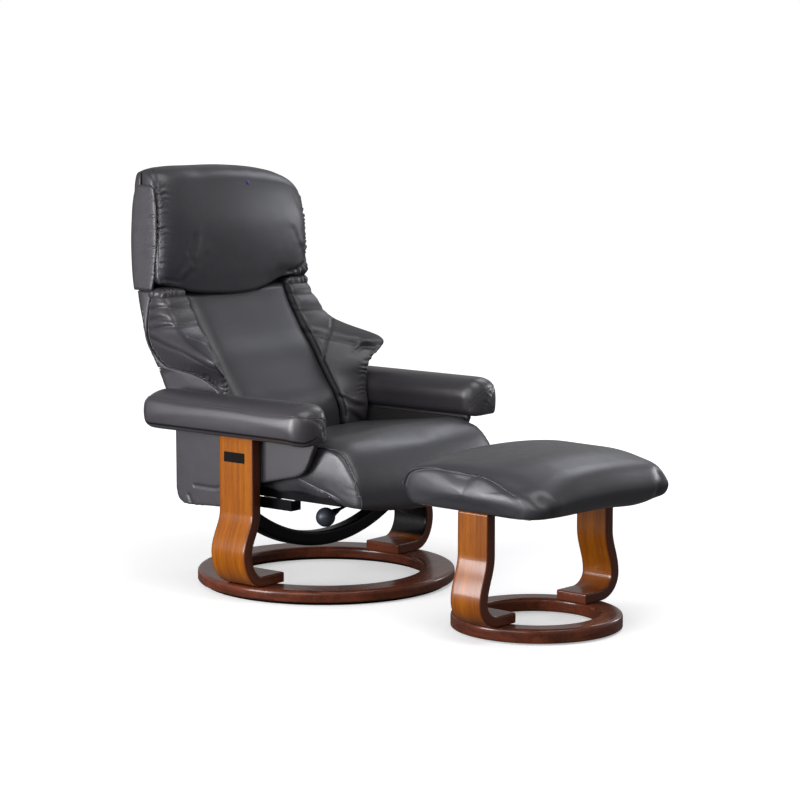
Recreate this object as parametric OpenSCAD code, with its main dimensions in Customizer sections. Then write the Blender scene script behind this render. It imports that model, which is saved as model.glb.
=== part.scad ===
// Lounge chair on a wooden swivel ring, with a reclining back, a gliding seat and a footstool.
// Millimetres. The origin is on the floor at the swivel axis.
// The sitter faces -Y and +X is the sitter's left.

/* [Chair ring] */
// How far the ring's edge lies inside the legs' outer faces
ring_in = 12; // [4:1:20]
// Width of the ring's band
ring_w = 87; // [84:1:92]
// Height of the ring's top above the floor
ring_top = 38; // [32:0.5:44]
// Roundness of the ring's upper edges
ring_edge_r = 9; // [4:0.5:11]

/* [Turntable] */
// Height of the flat turntable under the ring
race_h = 8.6; // [8:0.1:10]
// Distance from the ring's hole to the circle of balls
race_in = 44; // [41:1:47]
// Width of each race
race_w = 54; // [44:1:60]
// Diameter of the balls
ball_d = 5; // [4:0.1:5.6]
// Number of balls
ball_count = 24; // [12:1:36]

/* [Chair legs] */
// Width of a leg
leg_w = 110; // [100:1:120]
// Thickness of a leg's upright
leg_t = 31; // [28:0.5:34]
// Thickness of a foot
foot_t = 27; // [24:0.5:30]
// How far an upright's outer face lies outside the middle of the arm pad
leg_past = 4; // [0:1:8]
// How far the bulge stands out past the upright
bulge_out = 33; // [24:1:40]
// Height of the bulge
bulge_z = 126; // [115:1:135]
// Height where the upright starts to swing outwards
bend_top = 232; // [215:1:240]
// How far inside the upright's outer face the foot lies flat
heel_in = 41; // [36:1:48]
// How far inside the upright's outer face the foot's tip lies
tip_in = 120; // [108:1:128]

/* [Label plate] */
// Length of the bare plate on the right leg
label_l = 70; // [50:1:80]
// Height of the plate
label_h = 26; // [16:1:30]
// Thickness of the plate
label_t = 1.2; // [0.8:0.1:2]
// Height of the plate's middle above the floor
label_z = 373; // [340:1:395]

/* [Bow] */
// Inner radius of the bow's curve, as a share of the distance between the swivel axis and a leg
bow_bend = 1.59; // [1.55:0.01:1.66]
// Depth of the tube
bow_d = 38; // [34:1:42]
// Width of the tube
bow_w = 40; // [34:1:46]
// Wall of the tube
bow_wall = 2.5; // [2:0.1:3]

/* [Arms] */
// Gap between the seat cushion and an arm pad
arm_gap = 3; // [1:0.5:7]
// Width of an arm pad
arm_w = 122; // [112:1:130]
// Height of an arm pad's underside above the floor
arm_bottom = 432; // [430:1:440]
// Height of an arm pad
arm_h = 99; // [90:1:106]
// Distance from the swivel axis to an arm pad's front end
arm_front = 278; // [265:1:300]
// Distance from the swivel axis to an arm pad's rear end
arm_rear = 288; // [270:1:295]
// Thickness of the board in an arm pad
arm_board_t = 14; // [10:0.5:18]

/* [Side covers] */
// Thickness of a side board
side_board_t = 8; // [6:0.5:10]
// Thickness of the padded cover on a side board
side_cover_t = 17; // [12:0.5:17.5]
// Distance from the swivel axis to a side cover's rear edge
side_rear = 243; // [235:1:250]
// Distance from the swivel axis to a side cover's front edge
side_front = 245; // [235:1:250]
// Height of a side cover's rear underside above the floor
side_low = 222; // [205:1:240]

/* [Seat] */
// Width of the seat cushion
seat_w = 574; // [560:1:574]
// Height of the seat cushion's gusset top above the floor
seat_top = 421; // [410:1:426]
// Height of the seat cushion's underside above the floor
seat_low = 296; // [294:1:300]
// Distance from the swivel axis to the front roll
seat_front = 384; // [365:1:395]
// Distance from the swivel axis to the seat cushion's rear end
seat_rear = 96; // [88:1:98]
// How far the front roll hangs below the underside at its ends
roll_drop = 32; // [15:1:36]
// How far the seat's top falls towards the rear
seat_fall = 34; // [10:1:40]

/* [Seat frame] */
// Side of the square tubes
tube_w = 20; // [16:1:22]
// Thickness of the seat deck
deck_t = 8; // [6:0.5:10]
// Diameter of a glide rod
rod_d = 16; // [12:1:18]
// Height of a glide rod above the floor
rod_z = 252; // [250:1:253]

/* [Back] */
// How far the back shell's side lies inside the seat cushion's
back_in = 1; // [1:0.5:8]
// Height of the back shell's top above the floor
back_top = 770; // [750:1:775]
// Height of the back shell's lower end above the floor
back_low = 320; // [318:1:330]
// How far the back leans and curves backwards over its height
back_reach = 312; // [290:1:320]
// Width of the centre panel
panel_w = 400; // [360:1:410]
// Thickness of the centre panel
panel_t = 45; // [35:1:48]
// How far a wing's tip stands forward of the back
wing_forward = 140; // [90:1:145]
// How far a wing's tip stands out past the back's side
wing_out = 60; // [30:1:68]
// Wall of the back shell
shell_wall = 12; // [8:0.5:12]
// How far the back reclines, in degrees
recline = 25; // [15:1:25]

/* [Headrest] */
// How far the head pillow stands out past the seat cushion's side
head_past = 3; // [-17:1:5]
// Height of the head pillow's top above the floor
head_top = 1096; // [1060:1:1100]
// Gap between the back and the head pillow's underside
head_gap = 10; // [10:0.5:16]
// Distance from the swivel axis to the head pillow's front
head_front = 292; // [285:1:305]
// Distance from the swivel axis to the back of the head flap
head_rear = 424; // [420:1:430]
// Diameter of the small stud on the pillow
stud_d = 13; // [8:0.5:18]

/* [Lever] */
// Diameter of the lever's ball
knob_d = 50; // [40:1:54]
// How far the ball's middle lies inside the seat cushion's side
knob_in = 51; // [42:1:62]
// Height of the ball above the floor
knob_z = 225; // [215:1:228]
// Diameter of the lever's rod
lever_d = 8; // [6:0.5:10]

/* [Footstool] */
// Distance from the swivel axis to the footstool's middle, forwards
stool_y = 772; // [760:1:820]
// Distance from the swivel axis to the footstool's middle, to the sitter's right
stool_x = 107; // [0:1:120]
// Turn of the footstool, in degrees
stool_turn = -2.8; // [-6:0.1:6]
// How far the edge of the footstool's ring lies inside its legs' outer faces
stool_ring_in = 34; // [26:1:40]
// Width of the band of the footstool's ring
stool_ring_w = 60; // [56:1:70]
// Width of a footstool leg
stool_leg_w = 95; // [85:1:105]
// Thickness of a footstool leg
stool_leg_t = 30; // [26:0.5:32]
// How far a footstool leg's outer face lies inside the cushion's side
stool_leg_in = 9; // [8:0.5:14]
// How far the footstool's bulge stands out past its upright
stool_bulge_out = 26; // [20:1:34]
// Height of the footstool's bulge
stool_bulge_z = 100; // [92:1:108]
// Height of the footstool's board underside above the floor
stool_board_z = 317; // [310:1:330]
// Width of the footstool's cushion
stool_w = 510; // [500:1:524]
// Depth of the footstool's cushion
stool_d = 438; // [420:1:460]
// Height of the cushion's crown above the board's underside
stool_h = 122; // [105:1:130]

/* [Hidden] */
$fn = 64;

// Colours, as the photo shows them
leather = "#46434a";
dark_leather = "#3b393f";
amber_wood = "#b9702c";
red_wood = "#5a2a1c";
black_steel = "#17171a";
bare_steel = "#a9abad";
plywood = "#c9a878";
nylon = "#dcdad2";
felt = "#4a463f";
stud_blue = "#4b4a8c";

// Fits and overruns shared by every part
overrun = 1;
touch = 0.3;
play = 0.05;
seat_fit = 0.02;

// Widths, all from the seat cushion's
seat_half = seat_w / 2;
arm_in = seat_half + arm_gap;
arm_mid_x = arm_in + arm_w / 2;
leg_out = arm_mid_x + leg_past;
leg_bulge = leg_out + bulge_out;
heel_x = leg_out - heel_in;
foot_tip = leg_out - tip_in;
ring_r = leg_out - ring_in;
ring_hole_r = ring_r - ring_w;
race_r = ring_hole_r + race_in;
back_w = seat_w - 2 * back_in;
head_w = seat_w + 2 * head_past;
knob_x = seat_half - knob_in;

// Turntable
race_gap = 1;
race_screw_d = 4;
race_screw_l = 17;
race_screw_head_d = 8;
race_screw_count = 6;
race_pilot_r = race_screw_d / 2 + seat_fit;
race_low_top = (race_h - race_gap) / 2;
race_screw_r = race_r + race_w / 2 - race_screw_head_d;

// Legs
leg_in = leg_out - leg_t;
leg_top = arm_bottom;
foot_bolt_d = 8;
foot_bolt_head_d = 15;
foot_bolt_head_h = 5;
foot_bolt_y = 30;
foot_bolt_x = (heel_x + ring_hole_r) / 2;
foot_bolt_up = foot_t * 0.6;
step_count = 9;

// Bow
bow_corner_r = 6;
bow_plate_t = 4;
bow_plate_w = 74;
bow_plate_low = 200;
bow_plate_high = 298;
bow_side = leg_in - bow_plate_t;
bow_r = leg_in * bow_bend;
bow_rise = bow_r * (1 - cos(asin(leg_in / bow_r)));
bow_low = rod_z - touch - bow_rise;
bow_spare = 2;
bow_angle = asin(leg_in / bow_r) + bow_spare;

// Tracks
flange_t = 4;
flange_w = 84;
track_bar_t = 6;
track_bar_h = 24;
track_clear = 1;
track_bar_x = seat_half + track_clear;
track_front = 135;
track_gap = 0.5;
track_rear = 150;
ear_t = 10;
spacer_w = 70;
spacer_h = 12;
track_bolt_d = 8;
track_bolt_head_d = 14;
track_bolt_head_h = 5;
track_bolt_y = 28;
track_bolt_z = 282;
track_bolt_l = 22;
rod_in = 15;
rod_x = track_bar_x - rod_in;

// Back pivot and the lower link
pivot_y = 150;
pivot_z = 410;
link_z = 300;
link_arm = (pivot_z - link_z) / cos(recline / 2);
link_y = pivot_y + link_arm * sin(recline / 2);
pivot_d = 12;
pivot_plate_w = 34;
pivot_shell_r = 12;
pivot_head_d = 20;
pivot_head_h = 3.4;
pivot_nut_t = 5;
link_d = 10;
link_rise = link_arm * (1 - cos(recline / 2));
lug_r = 14;
lug_t = 6;
lug_in = 29;
lug_x = seat_half - lug_in;

// Arms
arm_mid_y = (arm_rear - arm_front) / 2;
arm_len = arm_rear + arm_front;
arm_board_side = 19;
arm_board_end = 50;
arm_board_w = arm_w - 2 * arm_board_side;
arm_board_l = arm_len - 2 * arm_board_end;
arm_bolt_d = 8;
arm_bolt_head_d = 16;
arm_bolt_head_h = 4;
arm_bolt_y = 32;
arm_bolt_l = 60;
arm_low_corner = 20;
arm_pipe_corner = 16;
arm_top_corner = 52;
arm_end_shares = [-1, -0.99, -0.955, -0.88, -0.76, -0.5, 0, 0.5, 0.76, 0.88, 0.955, 0.99, 1];
arm_end_power = 6;
arm_end_least = 0.35;

// Side covers
side_board_gap = 8;
side_board_x = arm_in + side_board_gap;
side_cover_x = side_board_x + side_board_t;
side_notch_in = 2;
side_notch_up = 6;
side_front_up = 12;
side_notch_w = leg_w - 2 * side_notch_in;
side_notch_top = bow_plate_high + side_notch_up;
side_front_low = seat_low + side_front_up;

// Seat
seat_share_rows = [-1, -0.985, -0.94, -0.8, -0.45, 0, 0.45, 0.8, 0.94, 0.985, 1];
seat_crown_share = 0.045;
seat_edge_share = 0.03;
seat_roll_share = 0.14;
roll_hang_share = 0.8;
frame_top = seat_low - deck_t;
frame_low = frame_top - tube_w;
frame_side_in = 3;
frame_front_in = 96;
cross_front_in = 174;
frame_half = seat_half - frame_side_in;
frame_front = seat_front - frame_front_in;
frame_rear = 192;
cross_front_y = seat_front - cross_front_in;
cross_rear_y = 118;
frame_wall = 2;
deck_inset = 6;
block_w = 22;
block_l = 40;
block_front_y = 74;
block_rear_y = 100;
block_wall = 4;
block_low = rod_z - rod_d / 2 - block_wall;

// Lever
lever_bolt_d = 8;
lever_y = cross_front_y - tube_w / 2;
lever_x = 84;
hub_d = 26;
hub_t = 15;
hub_top = frame_low - touch;
hub_z = hub_top - hub_t / 2;
lever_head_h = 4;
lever_head_d = 16;
neck_d = 22;
neck_l = 34;
knob_grip = 12;
lever_run = knob_x - lever_x;
lever_fall = hub_z - knob_z;
lever_l = sqrt(lever_run * lever_run + lever_fall * lever_fall);
lever_slope = atan(lever_fall / lever_run);

// Back: places up the back, and how far back each surface lies there, as shares of its height and reach
back_h = back_top - back_low;
back_y = 104;
level_shares = [0, 0.14, 0.25, 0.35, 0.44, 0.53, 0.62, 0.73, 0.84, 0.94, 1];
front_shares = [0, 0, 0.02, 0.085, 0.175, 0.26, 0.34, 0.455, 0.56, 0.64, 0.675];
rear_shares = [0.345, 0.41, 0.495, 0.58, 0.65, 0.725, 0.795, 0.87, 0.93, 0.97, 0.985];
shell_shares = [0.075, 0.075, 0.08, 0.165, 0.27, 0.385, 0.5, 0.62, 0.7, 0.75, 0.77];
wing_shares = [[0.15, 0.02, 0], [0.2, 0.04, 0], [0.25, 0.06, 0], [0.3, 0.08, 0], [0.35, 0.14, 0],
    [0.4, 0.24, 0], [0.44, 0.33, 0], [0.485, 0.5, 0], [0.53, 0.66, 0.2], [0.565, 0.79, 0.5],
    [0.6, 0.91, 0.8], [0.62, 0.98, 0.95], [0.64, 1, 1], [0.655, 0.95, 1], [0.67, 0.84, 0.95],
    [0.685, 0.68, 0.85], [0.7, 0.52, 0.72], [0.715, 0.38, 0.6], [0.73, 0.27, 0.5], [0.765, 0.14, 0.33],
    [0.84, 0.05, 0.15], [0.9, 0.03, 0.06], [0.94, 0.02, 0.02], [0.975, 0.01, 0], [0.99, 0, 0]];
panel_rows = [0.1, 0.11, 0.14, 0.2, 0.35, 0.5, 0.65, 0.8, 0.92, 0.97, 0.99, 1];
back_half = back_w / 2;
panel_half = panel_w / 2;
shell_in = back_half - shell_wall;
wing_gap = 1.2;
wing_in = panel_half + wing_gap;
wing_corner = 12;
plate_t = 6;
plate_in = 37;
plate_x = seat_half - plate_in;
plate_r = 20;
plate_back = 64;
plate_shares = [0.4, 0.55, 0.7, 0.82, 0.94];
cross_tube_r = 11;
cross_shares = [0.4, 0.82];
web_w = 42;
web_t = 2.5;
web_shares = [0.36, 0.48, 0.6, 0.72, 0.84];
web_sink = 1;

// Headrest
head_low = back_top + head_gap;
hinge_d = 8;
hinge_r = 12;
head_arm_t = 5;
head_arm_w = 20;
head_board_t = 12;
head_board_side = 35;
head_board_up = 34;
head_board_down = 60;
head_arm_down = 50;
head_board_w = head_w - 2 * head_board_side;
head_board_low = head_low + head_board_up;
head_board_high = head_top - head_board_down;
head_arm_top = head_board_high - head_arm_down;
head_board_y = 378;
head_lip = 28;
head_lip_w = 210;
head_split = head_board_y + head_board_t;
head_half = head_w / 2;
head_rows = [-1, -0.985, -0.95, -0.88, -0.75, -0.5, -0.25, 0, 0.25, 0.5, 0.75, 0.88, 0.95, 0.985, 1];
head_bulge_share = 0.16;
head_side_share = 0.22;
head_crown_share = 0.03;
head_corner_share = 0.1;
flap_down = 16;
flap_drop = 5;
flap_top = head_top - flap_down;
flap_low = head_low - flap_drop;
stud_t = 3;
stud_sink = 1.2;
stud_x = 44;
stud_back_share = 0.245;
stud_down_share = 0.144;
stud_lean = 0.925;
stud_back = stud_back_share * (head_split - head_front);
stud_down = stud_down_share * (head_top - head_low);
stud_tilt = atan(stud_lean * (head_split - head_front) / (head_top - head_low));

// Footstool
stool_glide_h = 4;
stool_glide_d = 24;
stool_glide_count = 6;
stool_ring_top = ring_top;
stool_heel_in = 46;
stool_tip_in = 109;
stool_leg_out = stool_w / 2 - stool_leg_in;
stool_bulge = stool_leg_out + stool_bulge_out;
stool_heel = stool_leg_out - stool_heel_in;
stool_tip = stool_leg_out - stool_tip_in;
stool_ring_r = stool_leg_out - stool_ring_in;
stool_hole_r = stool_ring_r - stool_ring_w;
stool_foot_t = 26;
stool_bend_top = 214;
stool_bolt_in = 8;
stool_bolt_x = (stool_ring_r + stool_hole_r) / 2 - stool_bolt_in;
stool_bolt_y = 26;
stool_board_t = 14;
stool_board_side = 13;
stool_board_end = 49;
stool_board_w = stool_w - 2 * stool_board_side;
stool_board_d = stool_d - 2 * stool_board_end;
stool_board_bolt_y = 28;
stool_board_bolt_l = 52;
stool_rows = [-1, -0.985, -0.94, -0.82, -0.5, 0, 0.5, 0.82, 0.94, 0.985, 1];
stool_crown_share = 0.21;
stool_edge_share = 0.03;

// Point on a curve that leaves a for b and arrives at c
function bend(a, b, c, t) = (1 - t) * (1 - t) * a + 2 * t * (1 - t) * b + t * t * c;
function toward(a, b) = (b - a) / norm(b - a);
function corner(row) = [row[0], row[1]];

// Outline through corners [across, up, cut length], each corner eased by a curve of n steps
function eased(rows, n) = [for (i = [0 : len(rows) - 1])
    let (p = corner(rows[i]), cut = rows[i][2])
    let (before = corner(rows[(i + len(rows) - 1) % len(rows)]), after = corner(rows[(i + 1) % len(rows)]))
    for (k = [0 : n]) bend(p + cut * toward(p, before), p, p + cut * toward(p, after), k / n)];

function total(list, i) = i < len(list) - 1 ? list[i] + total(list, i + 1) : list[i];
function middle(points) = total(points, 0) / len(points);

// Closed skin through a row of rings that have equal numbers of points
module skin(rings) {
    n = len(rings[0]);
    m = len(rings);
    points = [for (ring = rings) each ring];
    sides = [for (k = [0 : m - 2], j = [0 : n - 1]) each [
        [k * n + j, k * n + (j + 1) % n, (k + 1) * n + (j + 1) % n],
        [k * n + j, (k + 1) * n + (j + 1) % n, (k + 1) * n + j]]];
    ends = [for (j = [0 : n - 1]) each [
        [m * n, (j + 1) % n, j],
        [m * n + 1, (m - 1) * n + j, (m - 1) * n + (j + 1) % n]]];
    polyhedron(concat(points, [middle(rings[0]), middle(rings[m - 1])]), concat(sides, ends));
}

// Ring's section from radius a to b and height low to high, with upper edges of radius r
module ring_section(a, b, low, high, r) {
    translate([a, low]) square([b - a, high - r - low]);
    translate([a + r, high - 2 * r]) square([b - a - 2 * r, 2 * r]);
    for (x = [a + r, b - r]) translate([x, high - r]) circle(r = r);
}

module round_bar(size, r) {
    linear_extrude(size[2]) {
        square([size[0], size[1] - 2 * r], center = true);
        square([size[0] - 2 * r, size[1]], center = true);
        for (x = [-1, 1], y = [-1, 1])
            translate([x * (size[0] / 2 - r), y * (size[1] / 2 - r)]) circle(r = r);
    }
}

// Cylinder along X from a to b
module pin_x(a, b, r) {
    translate([a, 0, 0]) rotate([0, 90, 0]) cylinder(r = r, h = b - a);
}

// Turns an outline drawn in y and z into a slab from x = a to x = b
module slab_x(a, b) {
    translate([a, 0, 0]) rotate([90, 0, 90]) linear_extrude(b - a) children();
}

module mirror_pair() {
    children();
    mirror([1, 0, 0]) children();
}

// Flat turntable between the floor and the wooden ring
module race(low, high) {
    difference() {
        rotate_extrude($fn = 128) translate([race_r - race_w / 2, low]) square([race_w, high - low]);
        rotate_extrude($fn = 128) translate([race_r, race_h / 2]) circle(r = ball_d / 2 + play, $fn = 32);
    }
}

module at_race_screws() {
    for (i = [0 : race_screw_count - 1]) rotate([0, 0, (i + 0.5) * 360 / race_screw_count])
        translate([race_screw_r, 0, 0]) children();
}

module floor_race() {
    color(black_steel) race(0, race_low_top);
}

module race_balls() {
    color(bare_steel) for (i = [0 : ball_count - 1]) rotate([0, 0, i * 360 / ball_count])
        translate([race_r, 0, race_h / 2]) sphere(r = ball_d / 2, $fn = 24);
}

module upper_race() {
    color(black_steel) difference() {
        race(race_h - race_low_top, race_h);
        at_race_screws() translate([0, 0, race_h / 2]) cylinder(r = race_pilot_r, h = race_h);
        at_race_screws() translate([0, 0, race_h - race_low_top])
            cylinder(r1 = race_screw_head_d / 2 + seat_fit, r2 = race_pilot_r, h = race_low_top * 0.7);
    }
}

module race_screws() {
    color(bare_steel) at_race_screws() translate([0, 0, race_h - race_low_top]) {
        cylinder(r1 = race_screw_head_d / 2, r2 = race_screw_d / 2, h = race_low_top * 0.7);
        cylinder(r = race_screw_d / 2, h = race_screw_l);
    }
}

module ring_base() {
    color(red_wood) difference() {
        rotate_extrude($fn = 128) ring_section(ring_hole_r, ring_r, race_h, ring_top, ring_edge_r);
        at_race_screws() cylinder(r = race_pilot_r, h = race_h - race_low_top + race_screw_l + touch);
        at_foot_bolts(foot_bolt_x, foot_bolt_y) {
            cylinder(r = foot_bolt_d / 2 + seat_fit, h = ring_top + overrun);
            cylinder(r = foot_bolt_head_d / 2 + touch, h = race_h + touch + foot_bolt_head_h);
        }
    }
}

// Legs: the middle line runs down the upright, swings out to the bulge and sweeps in to the foot
function leg_line(out, bulge, bulge_z, bend_z, heel, tip, t, foot, top, floor) = let (
    x0 = out - t / 2, x1 = bulge - t / 2, z1 = floor + foot / 2) concat(
    [[x0, top, t]],
    [for (i = [0 : step_count]) let (u = i / step_count)
        [x0 + (x1 - x0) * (1 - cos(180 * u)) / 2, bend_z + (bulge_z - bend_z) * u, t]],
    [for (i = [1 : step_count]) let (u = i / step_count)
        [heel + (x1 - heel) * cos(90 * u), z1 + (bulge_z - z1) * (1 - sin(90 * u)), t + (foot - t) * u]],
    [[tip, z1, foot]]);

function line_side(line, side) = [for (i = [0 : len(line) - 1])
    let (a = line[max(i - 1, 0)], b = line[min(i + 1, len(line) - 1)], d = toward(corner(a), corner(b)))
    corner(line[i]) + side * line[i][2] / 2 * [-d[1], d[0]]];

function backwards(list) = [for (i = [len(list) - 1 : -1 : 0]) list[i]];

module bent_leg(line, w) {
    translate([0, w / 2, 0]) rotate([90, 0, 0]) linear_extrude(w)
        polygon(concat(line_side(line, 1), backwards(line_side(line, -1))));
}

module at_foot_bolts(x, y) {
    for (sx = [-1, 1], sy = [-1, 1]) translate([sx * x, sy * y, 0]) children();
}

module chair_leg() {
    difference() {
        bent_leg(leg_line(leg_out, leg_bulge, bulge_z, bend_top, heel_x, foot_tip, leg_t, foot_t,
            leg_top, ring_top), leg_w);
        at_foot_bolts(foot_bolt_x, foot_bolt_y)
            cylinder(r = foot_bolt_d / 2 + seat_fit, h = ring_top + foot_bolt_up + touch);
        for (y = [-1, 1]) translate([0, y * track_bolt_y, track_bolt_z])
            pin_x(leg_in - overrun, leg_in + track_bolt_l, track_bolt_d / 2 + seat_fit);
        for (y = [-1, 1]) translate([leg_out - leg_t / 2, y * arm_bolt_y, leg_top - arm_bolt_l])
            cylinder(r = arm_bolt_d / 2 + seat_fit, h = arm_bolt_l + overrun);
    }
}

module left_leg() {
    color(amber_wood) chair_leg();
}

module right_leg() {
    color(amber_wood) mirror([1, 0, 0]) chair_leg();
}

module foot_bolts() {
    color(bare_steel) at_foot_bolts(foot_bolt_x, foot_bolt_y) translate([0, 0, race_h + touch]) {
        cylinder(r = foot_bolt_head_d / 2, h = foot_bolt_head_h);
        cylinder(r = foot_bolt_d / 2, h = ring_top - race_h - touch + foot_bolt_up);
    }
}

module label_plate() {
    color(black_steel) translate([-leg_out - label_t, label_l * 0.06, label_z]) rotate([90, 0, 90])
        round_bar([label_l, label_h, label_t], label_t);
}

// Bow: a square tube on a curve, cut to length between its two end plates
module bow_profile(shrink) {
    translate([bow_r + shrink, -bow_w / 2 + shrink]) {
        w = bow_d - 2 * shrink;
        h = bow_w - 2 * shrink;
        r = bow_corner_r - shrink;
        polygon(eased([[0, 0, r], [w, 0, r], [w, h, r], [0, h, r]], 3));
    }
}

module bow() {
    color(black_steel) {
        intersection() {
            translate([0, 0, bow_low + bow_r]) rotate([90, 0, 0]) rotate([0, 0, -90 - bow_angle])
                rotate_extrude(angle = 2 * bow_angle, $fn = 128) difference() {
                    bow_profile(0);
                    bow_profile(bow_wall);
                }
            translate([-bow_side, -bow_w, 0]) cube([2 * bow_side, 2 * bow_w, bow_low + bow_r]);
        }
        mirror_pair() difference() {
            translate([bow_side, -bow_plate_w / 2, bow_plate_low])
                cube([bow_plate_t, bow_plate_w, bow_plate_high - bow_plate_low]);
            track_bolt_holes();
        }
    }
}

module track_bolt_holes() {
    for (y = [-1, 1]) translate([0, y * track_bolt_y, track_bolt_z])
        pin_x(bow_side - flange_t - overrun, leg_in + overrun, track_bolt_d / 2 + seat_fit);
}

// Track: a side bar with an ear at each end for the glide rod, an upright for the back's pivot and a flange
module track() {
    color(black_steel) difference() {
        union() {
            translate([track_bar_x, -track_front, rod_z - track_bar_h / 2])
                cube([track_bar_t, track_front + track_rear,
                    frame_low - track_gap - rod_z + track_bar_h / 2]);
            for (y = [-track_front, track_rear - ear_t])
                translate([rod_x - rod_d, y, rod_z - track_bar_h / 2])
                    cube([track_bar_x - rod_x + rod_d + overrun, ear_t, track_bar_h]);
            translate([track_bar_x + overrun, -spacer_w / 2, rod_z])
                cube([bow_side - track_bar_x - overrun, spacer_w, spacer_h]);
            translate([bow_side - flange_t, -flange_w / 2, rod_z])
                cube([flange_t, flange_w, bow_plate_high - rod_z]);
            translate([track_bar_x, pivot_y - pivot_plate_w / 2, rod_z])
                cube([track_bar_t, pivot_plate_w, pivot_z - rod_z]);
            translate([0, pivot_y, pivot_z])
                pin_x(track_bar_x, track_bar_x + track_bar_t, pivot_plate_w / 2);
            translate([track_bar_x, track_rear - overrun, rod_z - track_bar_h / 2])
                cube([track_bar_t, pivot_plate_w / 2 + overrun, track_bar_h]);
        }
        track_bolt_holes();
        translate([rod_x, -track_front - overrun, rod_z]) rotate([-90, 0, 0])
            cylinder(r = rod_d / 2 + seat_fit, h = track_front + track_rear + 2 * overrun);
        translate([0, pivot_y, pivot_z])
            pin_x(track_bar_x - overrun, track_bar_x + track_bar_t + overrun, pivot_d / 2 + seat_fit);
    }
}

module left_track() {
    track();
}

module right_track() {
    mirror([1, 0, 0]) track();
}

module track_bolts() {
    color(bare_steel) mirror_pair() for (y = [-1, 1]) translate([0, y * track_bolt_y, track_bolt_z]) {
        pin_x(bow_side - flange_t - track_bolt_head_h, bow_side - flange_t, track_bolt_head_d / 2);
        pin_x(bow_side - flange_t, leg_in + track_bolt_l - touch, track_bolt_d / 2);
    }
}

module glide_rod() {
    color(bare_steel) translate([rod_x, -track_front, rod_z]) rotate([-90, 0, 0])
        cylinder(r = rod_d / 2, h = track_front + track_rear);
}

module left_rod() {
    glide_rod();
}

module right_rod() {
    mirror([1, 0, 0]) glide_rod();
}

// Arms: a board bolted down on the leg, inside a padded cover
module arm_board() {
    color(plywood) difference() {
        translate([arm_mid_x - arm_board_w / 2, arm_mid_y - arm_board_l / 2, arm_bottom])
            cube([arm_board_w, arm_board_l, arm_board_t]);
        for (y = [-1, 1]) translate([leg_out - leg_t / 2, y * arm_bolt_y, arm_bottom]) {
            translate([0, 0, -overrun]) cylinder(r = arm_bolt_d / 2 + seat_fit, h = arm_board_t);
            translate([0, 0, arm_board_t - arm_bolt_head_h])
                cylinder(r = arm_bolt_head_d / 2 + touch, h = arm_board_t);
        }
    }
}

module left_arm_board() {
    arm_board();
}

module right_arm_board() {
    mirror([1, 0, 0]) arm_board();
}

module arm_bolts() {
    color(bare_steel) mirror_pair() for (y = [-1, 1])
        translate([leg_out - leg_t / 2, y * arm_bolt_y, leg_top - arm_bolt_l + touch]) {
            cylinder(r = arm_bolt_d / 2, h = arm_bolt_l + arm_board_t - arm_bolt_head_h);
            translate([0, 0, arm_bolt_l + arm_board_t - arm_bolt_head_h - touch])
                cylinder(r = arm_bolt_head_d / 2, h = arm_bolt_head_h);
        }
}

function arm_ring(share) = let (
    f = max(arm_end_least, pow(1 - pow(abs(share), arm_end_power), 1 / arm_end_power)),
    outline = eased([
        [-arm_w * 0.48, -arm_h / 2, arm_low_corner],
        [arm_w / 2, -arm_h / 2, arm_low_corner],
        [arm_w * 0.47, arm_h * 0.29, arm_pipe_corner],
        [arm_w * 0.12, arm_h / 2, arm_top_corner * 0.55],
        [-arm_w * 0.36, arm_h * 0.45, arm_top_corner * 0.33],
        [-arm_w / 2, arm_h * 0.12, arm_top_corner * 0.33]], 3))
    [for (p = outline)
        [arm_mid_x + f * p[0], arm_mid_y + share * arm_len / 2, arm_bottom + arm_h / 2 + f * p[1]]];

module arm_pad() {
    color(leather) difference() {
        skin([for (share = arm_end_shares) arm_ring(share)]);
        translate([arm_mid_x, arm_mid_y, arm_bottom - overrun])
            translate([-arm_board_w / 2 - touch, -arm_board_l / 2 - touch, 0])
                cube([arm_board_w + 2 * touch, arm_board_l + 2 * touch, arm_board_t + overrun + touch]);
    }
}

module left_arm_pad() {
    arm_pad();
}

module right_arm_pad() {
    mirror([1, 0, 0]) arm_pad();
}

// Side covers: the outline under an arm, cut away where the bow and track reach the leg
module side_outline(inset) {
    difference() {
        polygon(eased([
            [side_rear - inset, arm_bottom - inset, inset + touch],
            [side_rear - inset, side_low + inset, side_rear * 0.2],
            [leg_w * 0.75, side_low + leg_t * 0.3 + inset, leg_t * 0.3],
            [leg_w / 2, side_front_low - leg_t + inset, leg_t * 0.3],
            [-leg_w / 2, side_front_low + inset, leg_t * 0.5],
            [inset - side_front * 0.82, side_front_low + leg_w * 0.3 + inset, leg_w * 0.3],
            [inset - side_front, arm_bottom - inset, leg_t * 0.5]], 4));
        translate([-side_notch_w / 2, side_low - overrun])
            square([side_notch_w, side_notch_top - side_low]);
    }
}

module side_board() {
    color(plywood) slab_x(side_board_x, side_cover_x) side_outline(side_board_t);
}

module side_cover() {
    color(leather) slab_x(side_cover_x, side_cover_x + side_cover_t - 2 * touch) side_outline(0);
}

module left_side_board() {
    side_board();
}

module right_side_board() {
    mirror([1, 0, 0]) side_board();
}

module left_side_cover() {
    side_cover();
}

module right_side_cover() {
    mirror([1, 0, 0]) side_cover();
}

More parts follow.
